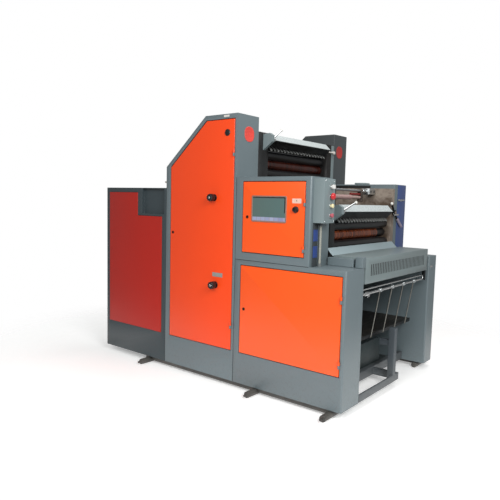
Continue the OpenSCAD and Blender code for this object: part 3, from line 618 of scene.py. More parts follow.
def display(x0, x1, z0, z1):
    """Display glass: grey-green field, a pale strip of keys along the bottom, and painted shadow along the
    top and right.
    """
    made, tree, shader, coords = material("display_glass", Roughness=0.12, IOR=1.5, Coat_Weight=0.4)
    split = add(tree, "ShaderNodeSeparateXYZ", None, {"Vector": coords})
    low = add(tree, "ShaderNodeMath", {"operation": "LESS_THAN", 1: z0 + 0.16 * (z1 - z0)},
              {0: split.outputs["Z"]})
    # Painted shadow of the sunken edge: a dark band along the top, and down the right side above its lower
    # third.
    top_shadow_band = add(tree, "ShaderNodeMath", {"operation": "GREATER_THAN", 1: z1 - 0.05 * (z1 - z0)},
               {0: split.outputs["Z"]})
    half = add(tree, "ShaderNodeMath", {"operation": "GREATER_THAN", 1: z0 + 0.35 * (z1 - z0)},
               {0: split.outputs["Z"]})
    side = add(tree, "ShaderNodeMath", {"operation": "GREATER_THAN", 1: x1 - 0.035 * (x1 - x0)},
               {0: split.outputs["X"]})
    strip = add(tree, "ShaderNodeMath", {"operation": "MULTIPLY"}, {0: half.outputs[0], 1: side.outputs[0]})
    top = add(tree, "ShaderNodeMath", {"operation": "MAXIMUM"}, {0: top_shadow_band.outputs[0], 1: strip.outputs[0]})
    blocks = add(tree, "ShaderNodeTexBrick", {"offset": 0.0, "Scale": 1.0, "Brick Width": 34 * mm,
                                              "Row Height": 60 * mm, "Mortar Size": 1.6 * mm,
                                              "Color1": linear("#7C82A2"), "Color2": linear("#9096B0"),
                                              "Mortar": linear("#8A7C80")},
                 {"Vector": add(tree, "ShaderNodeMapping",
                                {"Location": (-x0, -z0 + 30 * mm, 0), "Rotation": (radians(90), 0, 0)},
                                {"Vector": coords}).outputs["Vector"]})
    fade = add(tree, "ShaderNodeMapRange", {"From Min": x0, "From Max": x1}, {"Value": split.outputs["X"]})
    field = add(tree, "ShaderNodeMix", {"data_type": "RGBA", 6: linear("#4E605C"), 7: linear("#4C6462")},
                {0: fade.outputs["Result"]})
    keyed = add(tree, "ShaderNodeMix", {"data_type": "RGBA"}, {0: low.outputs[0], 6: field.outputs[2],
                                                                7: blocks.outputs["Color"]})
    field_with_painted_shadow = add(tree, "ShaderNodeMix", {"data_type": "RGBA", 7: linear("#20282A")},
                {0: top.outputs[0], 6: keyed.outputs[2]})
    tree.links.new(field_with_painted_shadow.outputs[2], shader.inputs["Base Color"])
    tree.links.new(field_with_painted_shadow.outputs[2], shader.inputs["Emission Color"])
    shader.inputs["Emission Strength"].default_value = 0.08
    return made


g = rim + 1 * mm
glass = display(lo.x + g, hi.x - g, lo.z + g, hi.z - g)
pane = skin(np.array([screen_ring(g, 3 * mm, front + 4 * mm), screen_ring(g, 3 * mm, front + 1.9 * mm),
                      screen_ring(g + 0.4 * mm, 2.6 * mm, front + 1.5 * mm)]))
piece("display", [pane], glass, "control_door")

# ----------------------------------------
# Button box: a small pressed-steel box on the end of the control cabinet, with
# four 22 mm operators: selector, stop mushroom, and two push buttons.

eased("button_box", pale_coat, 3, 3)
box_lo, box_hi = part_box("button_box")
face_x = box_hi.x - 3 * mm
operator_z = [(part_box(n)[0].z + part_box(n)[1].z) / 2 for n in
              ("selector_switch", "stop_button", "jog_button", "start_button")]
operator_y = (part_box("stop_button")[0].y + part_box("stop_button")[1].y) / 2
collar = [(-0.001, 15 * mm), (0.002, 15.6 * mm), (0.004, 15 * mm), (0.0045, 13 * mm), (0.0035, 10 * mm),
          (0.0035, 8.5 * mm)]
piece("button_collars", [turned(collar, (face_x, operator_y, z), "x", 36) for z in operator_z], chrome,
      "root")
gloss_red = moulded("red_polycarbonate", "#BE2F33", 0.18)
operators = {"stop_button": (20, 16, gloss_red),
             "jog_button": (13, 10, moulded("cream_polycarbonate", "#D6CCA0", 0.2)),
             "start_button": (13, 10, moulded("rose_polycarbonate", "#AE5560", 0.2)),
             "selector_switch": (13, 8, moulded("white_polycarbonate", "#C9C9C6", 0.22))}
for node, (r, thick, paint) in operators.items():
    lo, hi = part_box(node)
    y, z = (lo.y + hi.y) / 2, (lo.z + hi.z) / 2
    cap_x = face_x + 12 * mm
    stem = turned([(lo.x, 7.9 * mm), (cap_x + 1 * mm, 7.9 * mm)], (0, y, z), "x", 32)
    turn = np.linspace(0, pi / 2, 7)
    dome = 0.45 * thick
    rim_part = [(cap_x, 0.75 * r * mm), (cap_x, 0.96 * r * mm), (cap_x + 1 * mm, r * mm)]
    head = rim_part + [(cap_x + (thick - dome + dome * sin(t)) * mm, (r * (0.25 + 0.75 * cos(t))) * mm)
                       for t in turn]
    parts = [stem, turned(head, (0, y, z), "x", 48)]
    if node == "selector_switch":
        parts.append(box((cap_x + 6 * mm, y - 4 * mm, z - 12 * mm), (hi.x, y + 4 * mm, z + 12 * mm), 1.5))
    piece(node + "_head", parts, paint, node, slots[node],
          (node,))
piece("selector_mark", [box((cap_x + 17.6 * mm, operator_y - 1 * mm, operator_z[0] + 2 * mm),
                            (cap_x + 18 * mm, operator_y + 1 * mm, operator_z[0] + 11 * mm), 0.1)],
      black_plastic, "selector_switch")
corners = [(y, z) for y in (box_lo.y + 10 * mm, box_hi.y - 10 * mm)
           for z in (box_lo.z + 12 * mm, box_hi.z - 12 * mm)]
piece("button_box_screws", [screw(face_x, y, z, 3.2 * mm, "x", 1) for y, z in corners], chrome, "root")

# ----------------------------------------
# Conduit: cream ribbed plastic pipe with a hex gland at each end, up from the
# lower housing into the button box.

lo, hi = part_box("conduit")
cx, cy, length = (lo.x + hi.x) / 2, (lo.y + hi.y) / 2, hi.z - lo.z
rib = 4 * mm
along = np.arange(15 * mm, length - 18 * mm, rib / 4)
pipe = [(a, (7.3 + 0.7 * cos(2 * pi * a / rib)) * mm) for a in along]
cream = moulded("cream_pvc", "#97988F", 0.5)
piece("conduit_pipe", [turned(pipe, (cx, cy, lo.z), "z", 28)], cream, "root", "conduit_plastic",
      ("conduit",))
gland = metres((0, 14), (9, 14), (10, 12), (17, 11), (18, 8.2))
base_gland = turned(gland, (cx, cy, lo.z), "z", 36, 6, 0.05)
top_gland = turned([(length - a * 1.2, b) for a, b in gland], (cx, cy, lo.z), "z", 36, 6, 0.05)
for part in (base_gland, top_gland):
    part[0][:, :2] = np.array([cx, cy]) + (part[0][:, :2] - [cx, cy]) * 0.95
piece("conduit_glands", [base_gland, top_gland], moulded("grey_nylon", "#5A5F60", 0.45), "root")

# ----------------------------------------
# Side frames: grey iron castings, machined where the bearings sit, brown with
# old oil on the far side, with bolted bearing covers for every roller.


def cast_iron(name, hex_code, stain, rough=0.5, shade_to_x=-9.0):
    """Sand-cast iron under thin paint: 2 mm grain, broad oil stains that shine; painted shade turns it
    near-black up to that X."""
    made, tree, shader, coords = material(name, Specular_IOR_Level=0.5)
    grain = add(tree, "ShaderNodeTexNoise", {"Scale": 1 / (5 * mm), "Detail": 5, "Roughness": 0.7},
                {"Vector": coords})
    oil = add(tree, "ShaderNodeTexNoise", {"Scale": 1 / (110 * mm), "Detail": 6, "Roughness": 0.6,
                                           "Distortion": 0.6}, {"Vector": coords})
    runs = add(tree, "ShaderNodeMapRange", {"From Min": 0.42, "From Max": 0.62},
               {"Value": oil.outputs["Fac"]})
    tone = add(tree, "ShaderNodeMix", {"data_type": "RGBA", 6: linear(hex_code), 7: linear(stain)},
               {0: runs.outputs["Result"]})
    fine = add(tree, "ShaderNodeMix", {"data_type": "RGBA", "blend_type": "MULTIPLY", 0: 0.35},
               {6: tone.outputs[2], 7: grain.outputs["Color"]})
    split = add(tree, "ShaderNodeSeparateXYZ", None, {"Vector": coords})
    unshaded = add(tree, "ShaderNodeMapRange", {"From Min": shade_to_x, "From Max": shade_to_x + 0.06},
                {"Value": split.outputs["X"]})
    # Painted shade: near-black where X is below the X given as the last argument.
    with_painted_shade = add(tree, "ShaderNodeMix", {"data_type": "RGBA", 6: linear("#171615")},
               {0: unshaded.outputs["Result"], 7: fine.outputs[2]})
    surface(tree, shader, with_painted_shade.outputs[2], (rough + 0.15, rough - 0.2), runs.outputs["Result"],
            (0.5, 0.4), grain.outputs["Fac"])
    return made


# The near side frame is near-black as painted shade, so its end face between the housings reads dark.
near_iron_painted_shade = cast_iron("cast_iron_black_painted_shade", "#1C1E1F", "#141414")
# The far frame is near-black up to X 0.28 as painted shade for its part inside the upper unit.
far_iron = cast_iron("cast_iron_oily", "#94877A", "#5C4D40", 0.5, 0.28)
eased("side_frame_near", near_iron_painted_shade, 2.5)
eased("side_frame_far", far_iron, 2.5)
eased("tie_bars", bright_steel, 1)

rollers = [n for n in frame["nodes"] if "roller" in n or n.startswith("plate_cylinder")]
near_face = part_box("rubber_sleeve")[0].y
cover_parts = []
for node in rollers:
    lo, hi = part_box(node)
    x, z, r = (lo.x + hi.x) / 2, (lo.z + hi.z) / 2, (hi.x - lo.x) / 2
    hub = (32 if node.startswith("plate") else 22) * mm
    far_face = hi.y - 38 * mm
    for face, out in ((near_face, 1), (far_face, -1)):
        ring = [(-out * 0.3 * mm, hub), (out * 2.2 * mm, hub), (out * 3 * mm, hub - 1 * mm),
                (out * 3 * mm, hub * 0.72), (-out * 0.3 * mm, hub * 0.72)]
        cover_parts.append(turned(ring, (x, face, z), "y", 36))
piece("bearing_rings", cover_parts, black_steel, "root")

# ----------------------------------------
# Rollers and cylinders: steel shafts with ground rubber covers that carry an ink
# film; the plate cylinders are chromed, with a gap where the plate is clamped.


def along(profile, start, toward, sides=24, lobes=0, depth=0.0):
    """A turned shape of (distance, radius) pairs that starts at a point and runs in any direction."""
    w = Vector(toward).normalized()
    u = w.orthogonal().normalized()
    turn = np.array(Matrix((u, w.cross(u), w)))
    points, faces = turned(profile, (0, 0, 0), "z", sides, lobes, depth)
    return points @ turn + np.array(start, float), faces


def rod(r, length, ease=1.0):
    """The profile of a plain rod with broken edges, for turned and along; r and length in mm."""
    return metres((0, r - ease), (ease, r), (length - ease, r), (length, r - ease))


def ball(r, at):
    """The profile of a ball whose middle lies that far along; a small flat closes each end."""
    t = np.linspace(-0.48 * pi, 0.48 * pi, 13)
    return [((at + r * sin(a)) * mm, r * cos(a) * mm) for a in t]


def inked(name, hex_code, film, rough=0.3, cover=0.5):
    """Ground rubber under ink: rings of thicker film round the roller, tacky and glossy where it
    is thick."""
    made, tree, shader, coords = material(name, Specular_IOR_Level=0.5, IOR=1.5)
    stretched = add(tree, "ShaderNodeMapping", {"Scale": (3, 45, 3)}, {"Vector": coords})
    rings = add(tree, "ShaderNodeTexNoise", {"Scale": 1.0, "Detail": 5, "Roughness": 0.6},
                {"Vector": stretched.outputs["Vector"]})
    thick = add(tree, "ShaderNodeMapRange", {"From Min": 0.35, "From Max": 0.65, "To Max": cover * 2},
                {"Value": rings.outputs["Fac"]})
    tone = add(tree, "ShaderNodeMix", {"data_type": "RGBA", 6: linear(hex_code), 7: linear(film)},
               {0: thick.outputs["Result"]})
    fine = add(tree, "ShaderNodeTexNoise", {"Scale": 1 / (2 * mm), "Detail": 2}, {"Vector": coords})
    surface(tree, shader, tone.outputs[2], (rough + 0.12, rough - 0.12), rings.outputs["Fac"], (0.15, 0.05),
            fine.outputs["Fac"])
    return made


black_rubber = inked("black_ground_rubber", "#17181A", "#0B0B0C", 0.34)
red_rubber = inked("red_ground_rubber", "#43180F", "#1E0B08", 0.2)
copper_rubber = inked("copper_inked_rubber", "#7A3A1A", "#32130B", 0.16, 0.5)
plate_steel = steel("plate_cylinder_chrome", "#8D9294", 0.3, 0.4, 0.45)

for node in rollers:
    lo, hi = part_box(node)
    x, z, r = (lo.x + hi.x) / 2, (lo.z + hi.z) / 2, (hi.x - lo.x) / 2
    start, end, core = lo.y + 43 * mm, hi.y - 43 * mm, 0.5 * r
    shaft_r = 19.6 if node.startswith("plate") else 12
    piece(node + "_shaft", [along(rod(shaft_r, (hi.y - lo.y) / mm), (x, lo.y, z), (0, 1, 0), 32)],
          bright_steel, node)
    cut = 330 * mm if node in ("ink_roller_lower", "duct_roller_lower", "form_roller_lower") else end
    if node.startswith("plate"):
        a = np.linspace(0, 2 * pi, 96, endpoint=False)
        gap = 14 * mm * (np.abs(a - 1.25 * pi) < 0.12)
        rim = np.stack([x + (r - gap) * np.cos(a), z + (r - gap) * np.sin(a)], 1)
        body = walled(rim, [(1 * mm, start), (0, start + 1 * mm), (0, end - 1 * mm), (1 * mm, end)])
        paint = plate_steel
    else:
        body = turned([(start + 2 * mm, core), (start, core + 2 * mm), (start, r - 1.5 * mm),
                       (start + 1.5 * mm, r), (cut - 1.5 * mm, r), (cut, r - 1.5 * mm),
                       (cut, core + 2 * mm), (cut - 2 * mm, core)], (x, 0, z), "y", 72)
        paint = {"ink_roller_upper": red_rubber, "ink_roller_lower": copper_rubber}.get(node, black_rubber)
    if cut < end:
        sleeve = turned([(cut - 3 * mm, 0.7 * r), (cut + 1 * mm, 0.86 * r), (end - 1 * mm, 0.86 * r),
                         (end, 0.8 * r)], (x, 0, z), "y", 48)
        piece(node + "_sleeve", [sleeve], black_rubber, node)
    piece(node + "_body", [body], paint, node, slots[node], (node,))

# ----------------------------------------
# Ink ducts: a spring-steel blade over a folded trough, cast end plates on two
# pivots, a pale sloping front plate and a row of knurled key screws.

spring_steel = steel("blued_spring_steel", "#16191B", 0.42, 0.6, 0.25)
duct_plate = powder_coat("enamel_duct_plate", "#B4BCBC", 0.25, 2, 0.06, 0.2)
key_steel = steel("knurled_key_steel", "#9C9E9C", 0.34, 0.4, 0.25)
duct_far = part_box("ink_duct_upper")[1].y - 30 * mm


def slab(outline, y0, y1, ease=1.0):
    """An outline of (x, z) pairs in metres as a slab along Y with eased end edges."""
    e = ease * mm
    return walled(np.array(outline), [(e, y0), (0, y0 + e), (0, y1 - e), (e, y1)])


for unit in ("upper", "lower"):
    node = "ink_duct_" + unit
    lo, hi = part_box(node)
    ux, uz, near = hi.x - 68 * mm, hi.z - 100 * mm, lo.y + 5 * mm
    at = [[(ux + x * mm, uz + z * mm) for x, z in outline] for outline in (
        [(-36, -4), (-10, -14), (8, -4), (66, 54), (61, 59), (2, 5), (-36, 2)],
        [(62, 50), (67.5, 55.5), (24, 99.5), (18, 94), (56, 56)],
        [(-99, 20), (-60, 2), (8, -1), (66, 56), (24, 98), (-99, 80)])]
    blade = slab(at[0], near + 4 * mm, duct_far - 4 * mm, 0.5)
    ends = [slab(rounded(at[2], 5 * mm, 3), y, y + 10 * mm, 2) for y in (near, duct_far - 10 * mm)]
    pivot = (ux - 70 * mm, uz + 45 * mm)
    stubs = [along(rod(14, (b - a) / mm), (pivot[0], a, pivot[1]), (0, 1, 0), 32)
             for a, b in ((lo.y, near + 2 * mm), (duct_far - 2 * mm, hi.y))]
    piece(node + "_trough", [blade] + ends + stubs, spring_steel, "root", "dark_steel", (node,))
    piece(node + "_plate", [slab(at[1], near + 11 * mm, duct_far - 11 * mm, 0.5)], duct_plate, "root")
    bolts = [screw(ux + x * mm, y, uz + z * mm, 5 * mm, "y", out)
             for x, z in ((20, 78), (40, 45), (-80, 68)) for y, out in ((near, -1), (duct_far, 1))]
    piece(node + "_bolts", bolts, key_steel, "root")
    node = "ink_keys_" + unit
    lo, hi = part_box(node)
    count, pitch, down = 18, (hi.y - lo.y - 18 * mm) / 17, (1, 0, -1)
    foot = (ux + 18 * mm, lo.y + 9 * mm, uz + 6 * mm)
    neck = along(metres((0, 4), (9, 4), (9.5, 5)), foot, down, 20)
    grip = along(metres((9, 4), (9, 5.8), (10, 6.6), (29, 6.6), (30, 5.8), (30, 3.5)), foot, down, 36, 18,
                 0.045)
    tip = along(metres((29, 3.5), (33, 3.5), (34, 2.5), (34, 0.3)), foot, down, 20)
    steps = [(0, i * pitch, 0) for i in range(count)]
    piece(node + "_screws", [copies(part, steps) for part in (neck, grip, tip)], key_steel, "root",
          "bright_steel", (node,))

# ----------------------------------------
# Duct levers and throw-off lever: turned hubs on pins, plain rods screwed in and
# moulded ball tips; the throw-off lever is blackened, with a worn plastic grip.

white_ball = moulded("white_phenolic", "#DAD9D2", 0.25)
worn_grip = moulded("worn_pink_grey_vinyl", "#8E8494", 0.5, 1.2)

for node, lean in (("duct_lever_upper", 0), ("duct_lever_lower", 36)):
    lo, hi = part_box(node)
    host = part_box("ink_duct_" + node.split("_")[-1])[1]
    pin = (host.x + 6 * mm, lo.y, host.z - 46 * mm)
    tilt = Matrix.Rotation(radians(lean), 3, "Y")
    out = tilt @ Vector((0, sin(radians(55)), cos(radians(55))))
    foot = Vector(pin) + tilt @ Vector((0, 10 * mm, 8 * mm))
    hub = along(metres((0, 11), (0, 15), (1, 16), (19, 16), (20, 15), (20, 9)), pin, (0, 1, 0), 40)
    piece(node + "_hub", [hub, along(metres((4, 7), (16, 7), (18, 6), (114, 5)), foot, out)], chrome,
          node, "chrome", (node,))
    piece(node + "_ball", [along(ball(9.5, 118), foot, out, 32)], white_ball, node)

lo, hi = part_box("throw_off_lever")
pin = Vector((lo.x, 500 * mm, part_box("ink_duct_lower")[1].z - 55 * mm))
mid = pin + Vector((9 * mm, 0, 0))
ways = [Vector((0, sin(radians(a)), cos(radians(a)))) for a in (-38, 132, 126)]
bend = mid + ways[1] * 70 * mm
hub = along(metres((0, 12), (0, 19), (1, 20), (17, 20), (18, 19), (18, 12), (16, 11)), pin, (1, 0, 0), 40)
arms = [along(rod(7, 84), mid, ways[0]), along(rod(7, 72), mid, ways[1]), along(ball(8, 0), bend, ways[1])]
piece("throw_off_crank", [hub] + arms, black_steel, "throw_off_lever", "dark_steel", ("throw_off_lever",))
cross_pin = along(rod(7, 84), mid + Vector((13 * mm, -42 * mm, -16 * mm)), (0, 1, 0), 28)
piece("throw_off_cross_pin", [cross_pin], chrome, "throw_off_lever")
piece("throw_off_ball", [along(ball(11, 88), mid, ways[0], 32)], white_ball, "throw_off_lever")
ribs = [(a * mm, (10.4 + 0.6 * cos(a * pi / 4)) * mm) for a in range(2, 111)]
piece("throw_off_grip", [along([(0, 8 * mm)] + ribs + [(112 * mm, 8 * mm)], bend, ways[2], 28)], worn_grip,
      "throw_off_lever")

# ----------------------------------------
# Cross rod: ground silver rod over the lower unit, held in a clamp block, with a
# knurled rubber sleeve on a hanger below it.

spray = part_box("spray_rod")
rod_x, rod_z = (spray[0].x + spray[1].x) / 2, spray[1].z - 20 * mm
block_y, hang_y = spray[1].y - 105 * mm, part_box("rubber_sleeve")[1].y
parts = [along(rod(9, (spray[1].y - spray[0].y) / mm), (rod_x, spray[0].y, rod_z), (0, 1, 0), 36),
         box((rod_x - 30 * mm, block_y, rod_z - 26 * mm), (rod_x + 30 * mm, spray[1].y, rod_z + 20 * mm),
             4), along(metres((0, 14), (2, 17), (40, 17), (46, 13), (70, 12), (72, 9)),
                       (rod_x, block_y - 68 * mm, rod_z), (0, 1, 0), 36)]
satin_zinc = steel("satin_zinc", "#BFC3C4", 0.34, 0.8, 0.15)
piece("cross_rod", parts, satin_zinc, "root", "chrome", ("spray_rod",))
hanger = box((rod_x - 20 * mm, hang_y, rod_z - 82 * mm),
             (rod_x + 20 * mm, hang_y + 20 * mm, rod_z + 14 * mm), 4)
piece("sleeve_hanger", [hanger], cast_iron("cast_iron_hanger", "#5E5046", "#3A2F28"), "root")
clamp_screws = [screw(rod_x + 30 * mm, block_y + y * mm, rod_z - 3 * mm, 6 * mm, "x", 1) for y in (25, 80)]
piece("cross_rod_screws", clamp_screws, black_steel, "root")
lo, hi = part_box("rubber_sleeve")
sleeve_r, sleeve_x, sleeve_z, split = (hi.x - lo.x) / 2 / mm, (lo.x + hi.x) / 2, (lo.z + hi.z) / 2, 0.78
length = (hi.y - lo.y) / mm
knurl = [(a * mm, (sleeve_r - 0.8 + 0.7 * cos(a * pi / 3)) * mm) for a in np.arange(1.5, length * split,
                                                                                    1.5)]
piece("sleeve_knurled", [along(knurl, (sleeve_x, lo.y, sleeve_z), (0, 1, 0), 48, 24, 0.012)],
      moulded("knurled_pink_rubber", "#9A7F7B", 0.6, 1.0), "root", "sleeve_rubber", ("rubber_sleeve",))
tail = (sleeve_x, lo.y + length * split * mm - 2 * mm, sleeve_z)
piece("sleeve_tail", [along(rod(sleeve_r * 0.66, length * (1 - split) + 2), tail, (0, 1, 0), 40)],
      moulded("pale_pink_rubber", "#A88F88", 0.5, 0.8), "root")
piece("sleeve_red_band", [along(rod(9, length * (1 - split)), Vector(tail) + Vector((0, 0, 24 * mm)),
                                (0, 1, 0), 32)], moulded("red_rubber_band", "#7C1F1C", 0.45, 0.8), "root")

# ----------------------------------------
# Delivery: a folded cover with a grille of upright slots, a slanted guard and side blocks, all
# coated pale grey. Behind the slots sit a black liner and a black pad in each slot: painted shade.

delivery_coat = powder_coat("powder_coat_delivery_grey", "#717D7E", 0.34)
eased("delivery_cover", delivery_coat, 0.8, 2)
eased("delivery_guard", powder_coat("powder_coat_guard_grey", "#8C9CA0", 0.34), 1.2, 2)
eased("cover_blocks", grey_coat, 3, 3)
painted_shade_black = enamel("flat_black_painted_shade", "#0C0D0E", 0.7, 0.1)
lo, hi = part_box("delivery_cover")
# The black liner and slot pads are painted shade for the dark inside of the delivery.
liner = [box((hi.x - 16 * mm, lo.y + 12 * mm, lo.z + 30 * mm),
             (hi.x - 14 * mm, hi.y - 12 * mm, hi.z - 12 * mm), 0.4)]
slot_step = 25 * mm
first_y = (lo.y + hi.y) / 2 - 17.5 * slot_step
slot_shade_pad = box((hi.x - 15 * mm, first_y - 5.9 * mm, lo.z + 45.2 * mm),
          (hi.x - 0.8 * mm, first_y + 5.9 * mm, lo.z + 116.8 * mm), 0.2)
liner.append(copies(slot_shade_pad, [(0, i * slot_step, 0) for i in range(36)]))
piece("grille_liner_painted_shade", liner, painted_shade_black, "root")

# ----------------------------------------
# Delivery bars and fingers: two chromed bars joined by a loop at the far end,
# with a cast clamp at the near end; each finger hangs from a split clamp.

lo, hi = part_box("delivery_bars")
bar_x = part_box("delivery_cover")[1].x - 18 * mm
lower_z = lo.z + 25 * mm
upper_z = lower_z + 29 * mm
bars = [along(rod(r, (hi.y - 14 * mm - lo.y) / mm), (bar_x, lo.y, z), (0, 1, 0), 32)
        for r, z in ((5, upper_z), (8, lower_z))]
a = np.linspace(-pi / 2, pi / 2, 15)
loop_y, loop_r = hi.y - 30 * mm, (upper_z - lower_z) / 2
ring = np.stack([0 * a, loop_y + loop_r * np.cos(a) * 0.9, (upper_z + lower_z) / 2 + loop_r * np.sin(a)], 1)
b = np.linspace(0, 2 * pi, 16, endpoint=False)
spokes = np.stack([0 * a, np.cos(a), np.sin(a)], 1)
tube_points = ring[:, None] + 5 * mm * (np.cos(b)[None, :, None] * spokes[:, None] +
                                        np.sin(b)[None, :, None] * np.array([1.0, 0, 0]))
tube_points[..., 0] += bar_x
bars.append(skin(tube_points))
# The strap is blackened so that it sinks into the dark beside the loop: painted shade.
shaded_strap = box((bar_x - 8 * mm, hi.y - 14 * mm, lower_z - 10 * mm), (bar_x + 18 * mm, hi.y, hi.z), 3)
collar = metres((0, 9), (0, 12), (3, 14), (30, 14), (34, 11), (80, 10), (84, 9))
lug = box((bar_x - 9 * mm, -430 * mm, lower_z - 25 * mm), (bar_x + 9 * mm, -400 * mm, lower_z), 4)
piece("delivery_bar_pair", bars, chrome, "root", "chrome", ("delivery_bars",))
piece("delivery_bar_clamp", [along(collar, (bar_x, -462 * mm, lower_z), (0, 1, 0), 32), lug], chrome,
      "root")
piece("delivery_bar_shaded_strap", [shaded_strap], black_steel, "root")
dull_steel = steel("dull_rod_steel", "#8D8C86", 0.42, 0.5, 0.35)
lo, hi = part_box("sheet_fingers")
step, first = (hi.y - lo.y - 28 * mm) / 3, lo.y + 14 * mm
lean = (sin(radians(-171)), 0, cos(radians(-171)))
finger = along(metres((14, 4), (290, 4), (326, 3.6), (328, 1.5)), (bar_x, first, lower_z), lean, 16)
holder = turned(metres((-14, 9), (-14, 11.5), (-13, 12.5), (-2, 12.5), (-1.2, 11), (1.2, 11), (2, 12.5),
                       (13, 12.5), (14, 11.5), (14, 9)), (bar_x, first, lower_z), "y", 32)
shifts = [(0, i * step, 0) for i in range(4)]
piece("finger_rods", [copies(finger, shifts)], dull_steel, "root", "chrome", ("sheet_fingers",))
piece("finger_clamps", [copies(holder, shifts)], satin_zinc, "root")

# ----------------------------------------
# Pile lift: an oiled plywood board that rides on two plain guide rods, with a
# blackened steel strip along its front edge.


def oiled_wood(name, hex_code, worn, rough=0.5):
    """Oiled plywood: long grain along Y, darker where oil has soaked in, paler where it is rubbed."""
    made, tree, shader, coords = material(name, Specular_IOR_Level=0.4)
    grained = add(tree, "ShaderNodeMapping", {"Scale": (60, 4, 60)}, {"Vector": coords})
    grain = add(tree, "ShaderNodeTexNoise", {"Scale": 1.0, "Detail": 6, "Roughness": 0.6,
                                             "Distortion": 0.4}, {"Vector": grained.outputs["Vector"]})
    rub = add(tree, "ShaderNodeTexNoise", {"Scale": 6.0, "Detail": 5}, {"Vector": coords})
    edge = add(tree, "ShaderNodeMapRange", {"From Min": 0.5, "From Max": 0.75},
               {"Value": rub.outputs["Fac"]})
    colour = np.array(linear(hex_code))
    tone = add(tree, "ShaderNodeMix", {"data_type": "RGBA", 6: (*(colour[:3] * 0.6), 1),
                                       7: (*(colour[:3] * 1.3), 1)}, {0: grain.outputs["Fac"]})
    rubbed = add(tree, "ShaderNodeMix", {"data_type": "RGBA", 7: linear(worn)},
                 {0: edge.outputs["Result"], 6: tone.outputs[2]})
    surface(tree, shader, rubbed.outputs[2], (rough - 0.1, rough + 0.2), grain.outputs["Fac"], (0.3, 0.2),
            grain.outputs["Fac"])
    return made


eased("pile_board", oiled_wood("oiled_black_plywood", "#1D1B18", "#3B362E"), 2, 2)
eased("feeder_pile_board", oiled_wood("oiled_birch_plywood", "#8E7049", "#A58A62"), 2, 2)
lo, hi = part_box("pile_board")
edge_strip = box((hi.x - 1 * mm, lo.y + 2 * mm, lo.z + 3 * mm),
                 (hi.x + 1.5 * mm, hi.y - 2 * mm, hi.z - 2 * mm), 0.4)
piece("board_edge_strip", [edge_strip], black_steel, "pile_board")
eased("pile_guides", black_steel, 1.5, 2)

# ----------------------------------------
# Feeder inside: a brushed aluminium feed board, a suction head on a square bar
# with rubber-lipped suckers, over the board for the blank pile.

brushed = steel("brushed_aluminium", "#B4B7B6", 0.36, 1.2, 0.12)
eased("feed_board", brushed, 1)
lo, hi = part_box("suction_head")
sucker_z = hi.z - 50 * mm
beam = box((lo.x, lo.y, sucker_z), (hi.x, hi.y, hi.z), 3)
sucker = along(metres((0, 9), (28, 9), (29, 6), (62, 6)), ((lo.x + hi.x) / 2, -360 * mm, sucker_z),
               (0, 0, -1), 24)
lip = along(metres((60, 5), (60, 7.5), (70, 6), (80, 9), (80, 7)),
            ((lo.x + hi.x) / 2, -360 * mm, sucker_z), (0, 0, -1), 24)
shifts = [(0, i * 120 * mm, 0) for i in range(7)]
piece("suction_beam", [beam, copies(sucker, shifts)], satin_zinc, "root", "bright_steel", ("suction_head",))
piece("sucker_lips", [copies(lip, shifts)], black_rubber, "root")

# ----------------------------------------
# Name plates: plain red enamelled shields with a rolled rim, one on each tower's
# end, with nothing on them. The far one has a darker, rougher copy of the red: the darker tone is painted
# shade.

# The far shield's darker red is painted shade; its higher roughness is real.
shield_reds = (powder_coat("red_vitreous_enamel", "#DC4A40", 0.25, 4, 0.04),
               powder_coat("dull_shaded_red_vitreous_enamel", "#A62E2A", 0.4, 4, 0.04))
for side, (y0, y1) in enumerate(((-663, -563), (566, 666))):
    z0 = (1674, 1656)[side]
    base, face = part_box("name_plates")[0].x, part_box("name_plates")[1].x
    outline = rounded(metres((y0, z0), (y1, z0), (y1, z0 + 100), (y0, z0 + 100)), 42 * mm, 10)
    shield = walled(outline, [(0, base - 0.3 * mm), (0, face - 0.6 * mm), (1 * mm, face), (5 * mm, face),
                              (7 * mm, face - 0.7 * mm)], "yz")
    piece("name_shield_" + ("near", "far")[side], [shield], shield_reds[side], "root", "red_plate",
          ("name_plates",) if side == 0 else ())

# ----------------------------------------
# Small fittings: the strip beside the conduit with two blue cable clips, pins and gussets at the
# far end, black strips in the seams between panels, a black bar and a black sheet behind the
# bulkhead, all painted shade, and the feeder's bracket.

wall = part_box("control_housing_near")[1].x
strip = box((wall - 0.3 * mm, -706 * mm, 892 * mm), (wall + 5 * mm, -652 * mm, 1150 * mm), 1.5)
piece("cable_strip", [strip], enamel("dark_grey_trunking", "#33393C", 0.5), "root")
clips = [box((wall + 4 * mm, -704 * mm, z * mm), (wall + 8 * mm, -656 * mm, (z + h) * mm), 1.5)
         for z, h in ((945, 70), (1045, 70))]
piece("cable_clips", clips, moulded("blue_nylon", "#27407E", 0.4), "root")
far_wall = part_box("control_housing_far")[1].x
blue_panel = box((far_wall - 0.3 * mm, 578 * mm, 893 * mm), (far_wall + 3 * mm, 733 * mm, 1431 * mm), 1.5)
piece("far_blue_panel", [blue_panel], blue_coat, "root", "blue_grey_paint")
far_pin = along(rod(6, 112), (far_wall + 12 * mm, 572 * mm, 1312 * mm), (0, 1, 0.02), 24)
far_post = along(rod(8, 14), (far_wall, 626 * mm, 1313 * mm), (1, 0, 0), 24)
arm = along(rod(6, 104), (291 * mm, 407 * mm, 1692 * mm), (0, 1, 0))
arm_foot = box(*metres((274.8, 486, 1680), (298, 510, 1704)), 3)
end_x, lower_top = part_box("tower_housing_far")[1].x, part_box("lower_housing_far")[1].z
far_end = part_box("lower_housing_far")[1].x
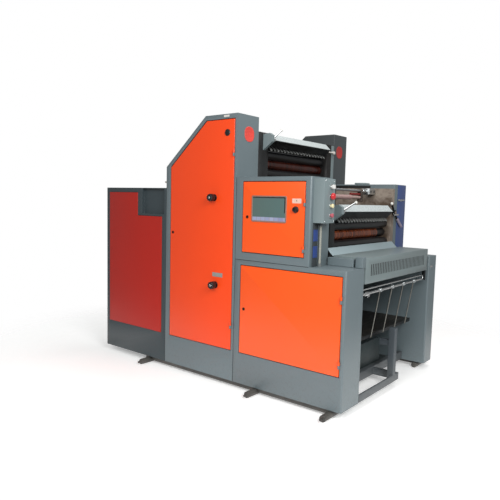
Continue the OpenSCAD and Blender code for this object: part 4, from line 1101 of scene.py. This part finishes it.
inlay = box((far_end - 0.6 * mm, 598 * mm, lower_top - 87 * mm),
            (far_end + 0.4 * mm, 662 * mm, lower_top - 75 * mm), 0.3)
piece("far_pins", [far_pin, far_post, inlay], chrome, "root")
gussets = []
for x0, x, z in ((end_x, end_x + 59 * mm, 1704 * mm), (far_wall, end_x + 619 * mm, 1224 * mm)):
    corners = [(x0, z - 70 * mm), (x + 18 * mm, z - 14 * mm), (x + 18 * mm, z + 28 * mm),
               (x - 6 * mm, z + 44 * mm), (x0, z + 36 * mm)]
    gussets.append(slab(inset(np.array(corners), -0.8 * mm), -458 * mm, -431.8 * mm, 0.5))
piece("lever_gussets", gussets, pale_coat, "root")
# Black strips in the panel seams, a black bar and a black sheet behind the bulkhead: painted shade.
sheet_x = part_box("bulkhead")[0].x
shade_backdrop = box((sheet_x + 21 * mm, -395 * mm, 150 * mm), (sheet_x + 23 * mm, 473 * mm, 848 * mm), 0.5)
shadow_bar = box(*metres((290, 523, 1400), (622, 526.5, 1424)), 1)
seams = [box(*metres((x, -735.6, 52), (x + 3, -730, z)), 0.5) for x, z in ((-401.5, 1358), (273.5, 1433))]
seams.append(box(*metres((276, -735.6, 888.5), (853, -730, 891.5)), 0.5))
piece("panel_seams_painted_shade", seams + [shadow_bar, shade_backdrop], painted_shade_black, "root")
end_strip = box((end_x - 0.3 * mm, 480 * mm, 1436 * mm), (end_x + 2 * mm, 523 * mm, 1752 * mm), 1)
piece("far_frame_strip", [end_strip], pale_coat, "root")
piece("far_arm", [arm, arm_foot], white_plate, "root")
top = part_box("control_housing_far")[1].z
cap = box((470 * mm, 540 * mm, top - 0.3 * mm), (560 * mm, 640 * mm, top + 14 * mm), 4)
piece("far_cover_cap", [cap], pale_coat, "root")
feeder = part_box("feeder_housing_near")[1].z
bracket = [along(rod(4, 62), (-490 * mm, -640 * mm, feeder - 1 * mm), (0, 0, 1)),
           along(rod(7, 6), (-490 * mm, -640 * mm, feeder - 1 * mm), (0, 0, 1))]
piece("feeder_bracket_rod", bracket, black_steel, "root")
piece("feeder_bracket",
      [box((-515 * mm, -646 * mm, feeder + 40 * mm), (-470 * mm, -634 * mm, feeder + 54 * mm), 2)],
      white_plate, "root")
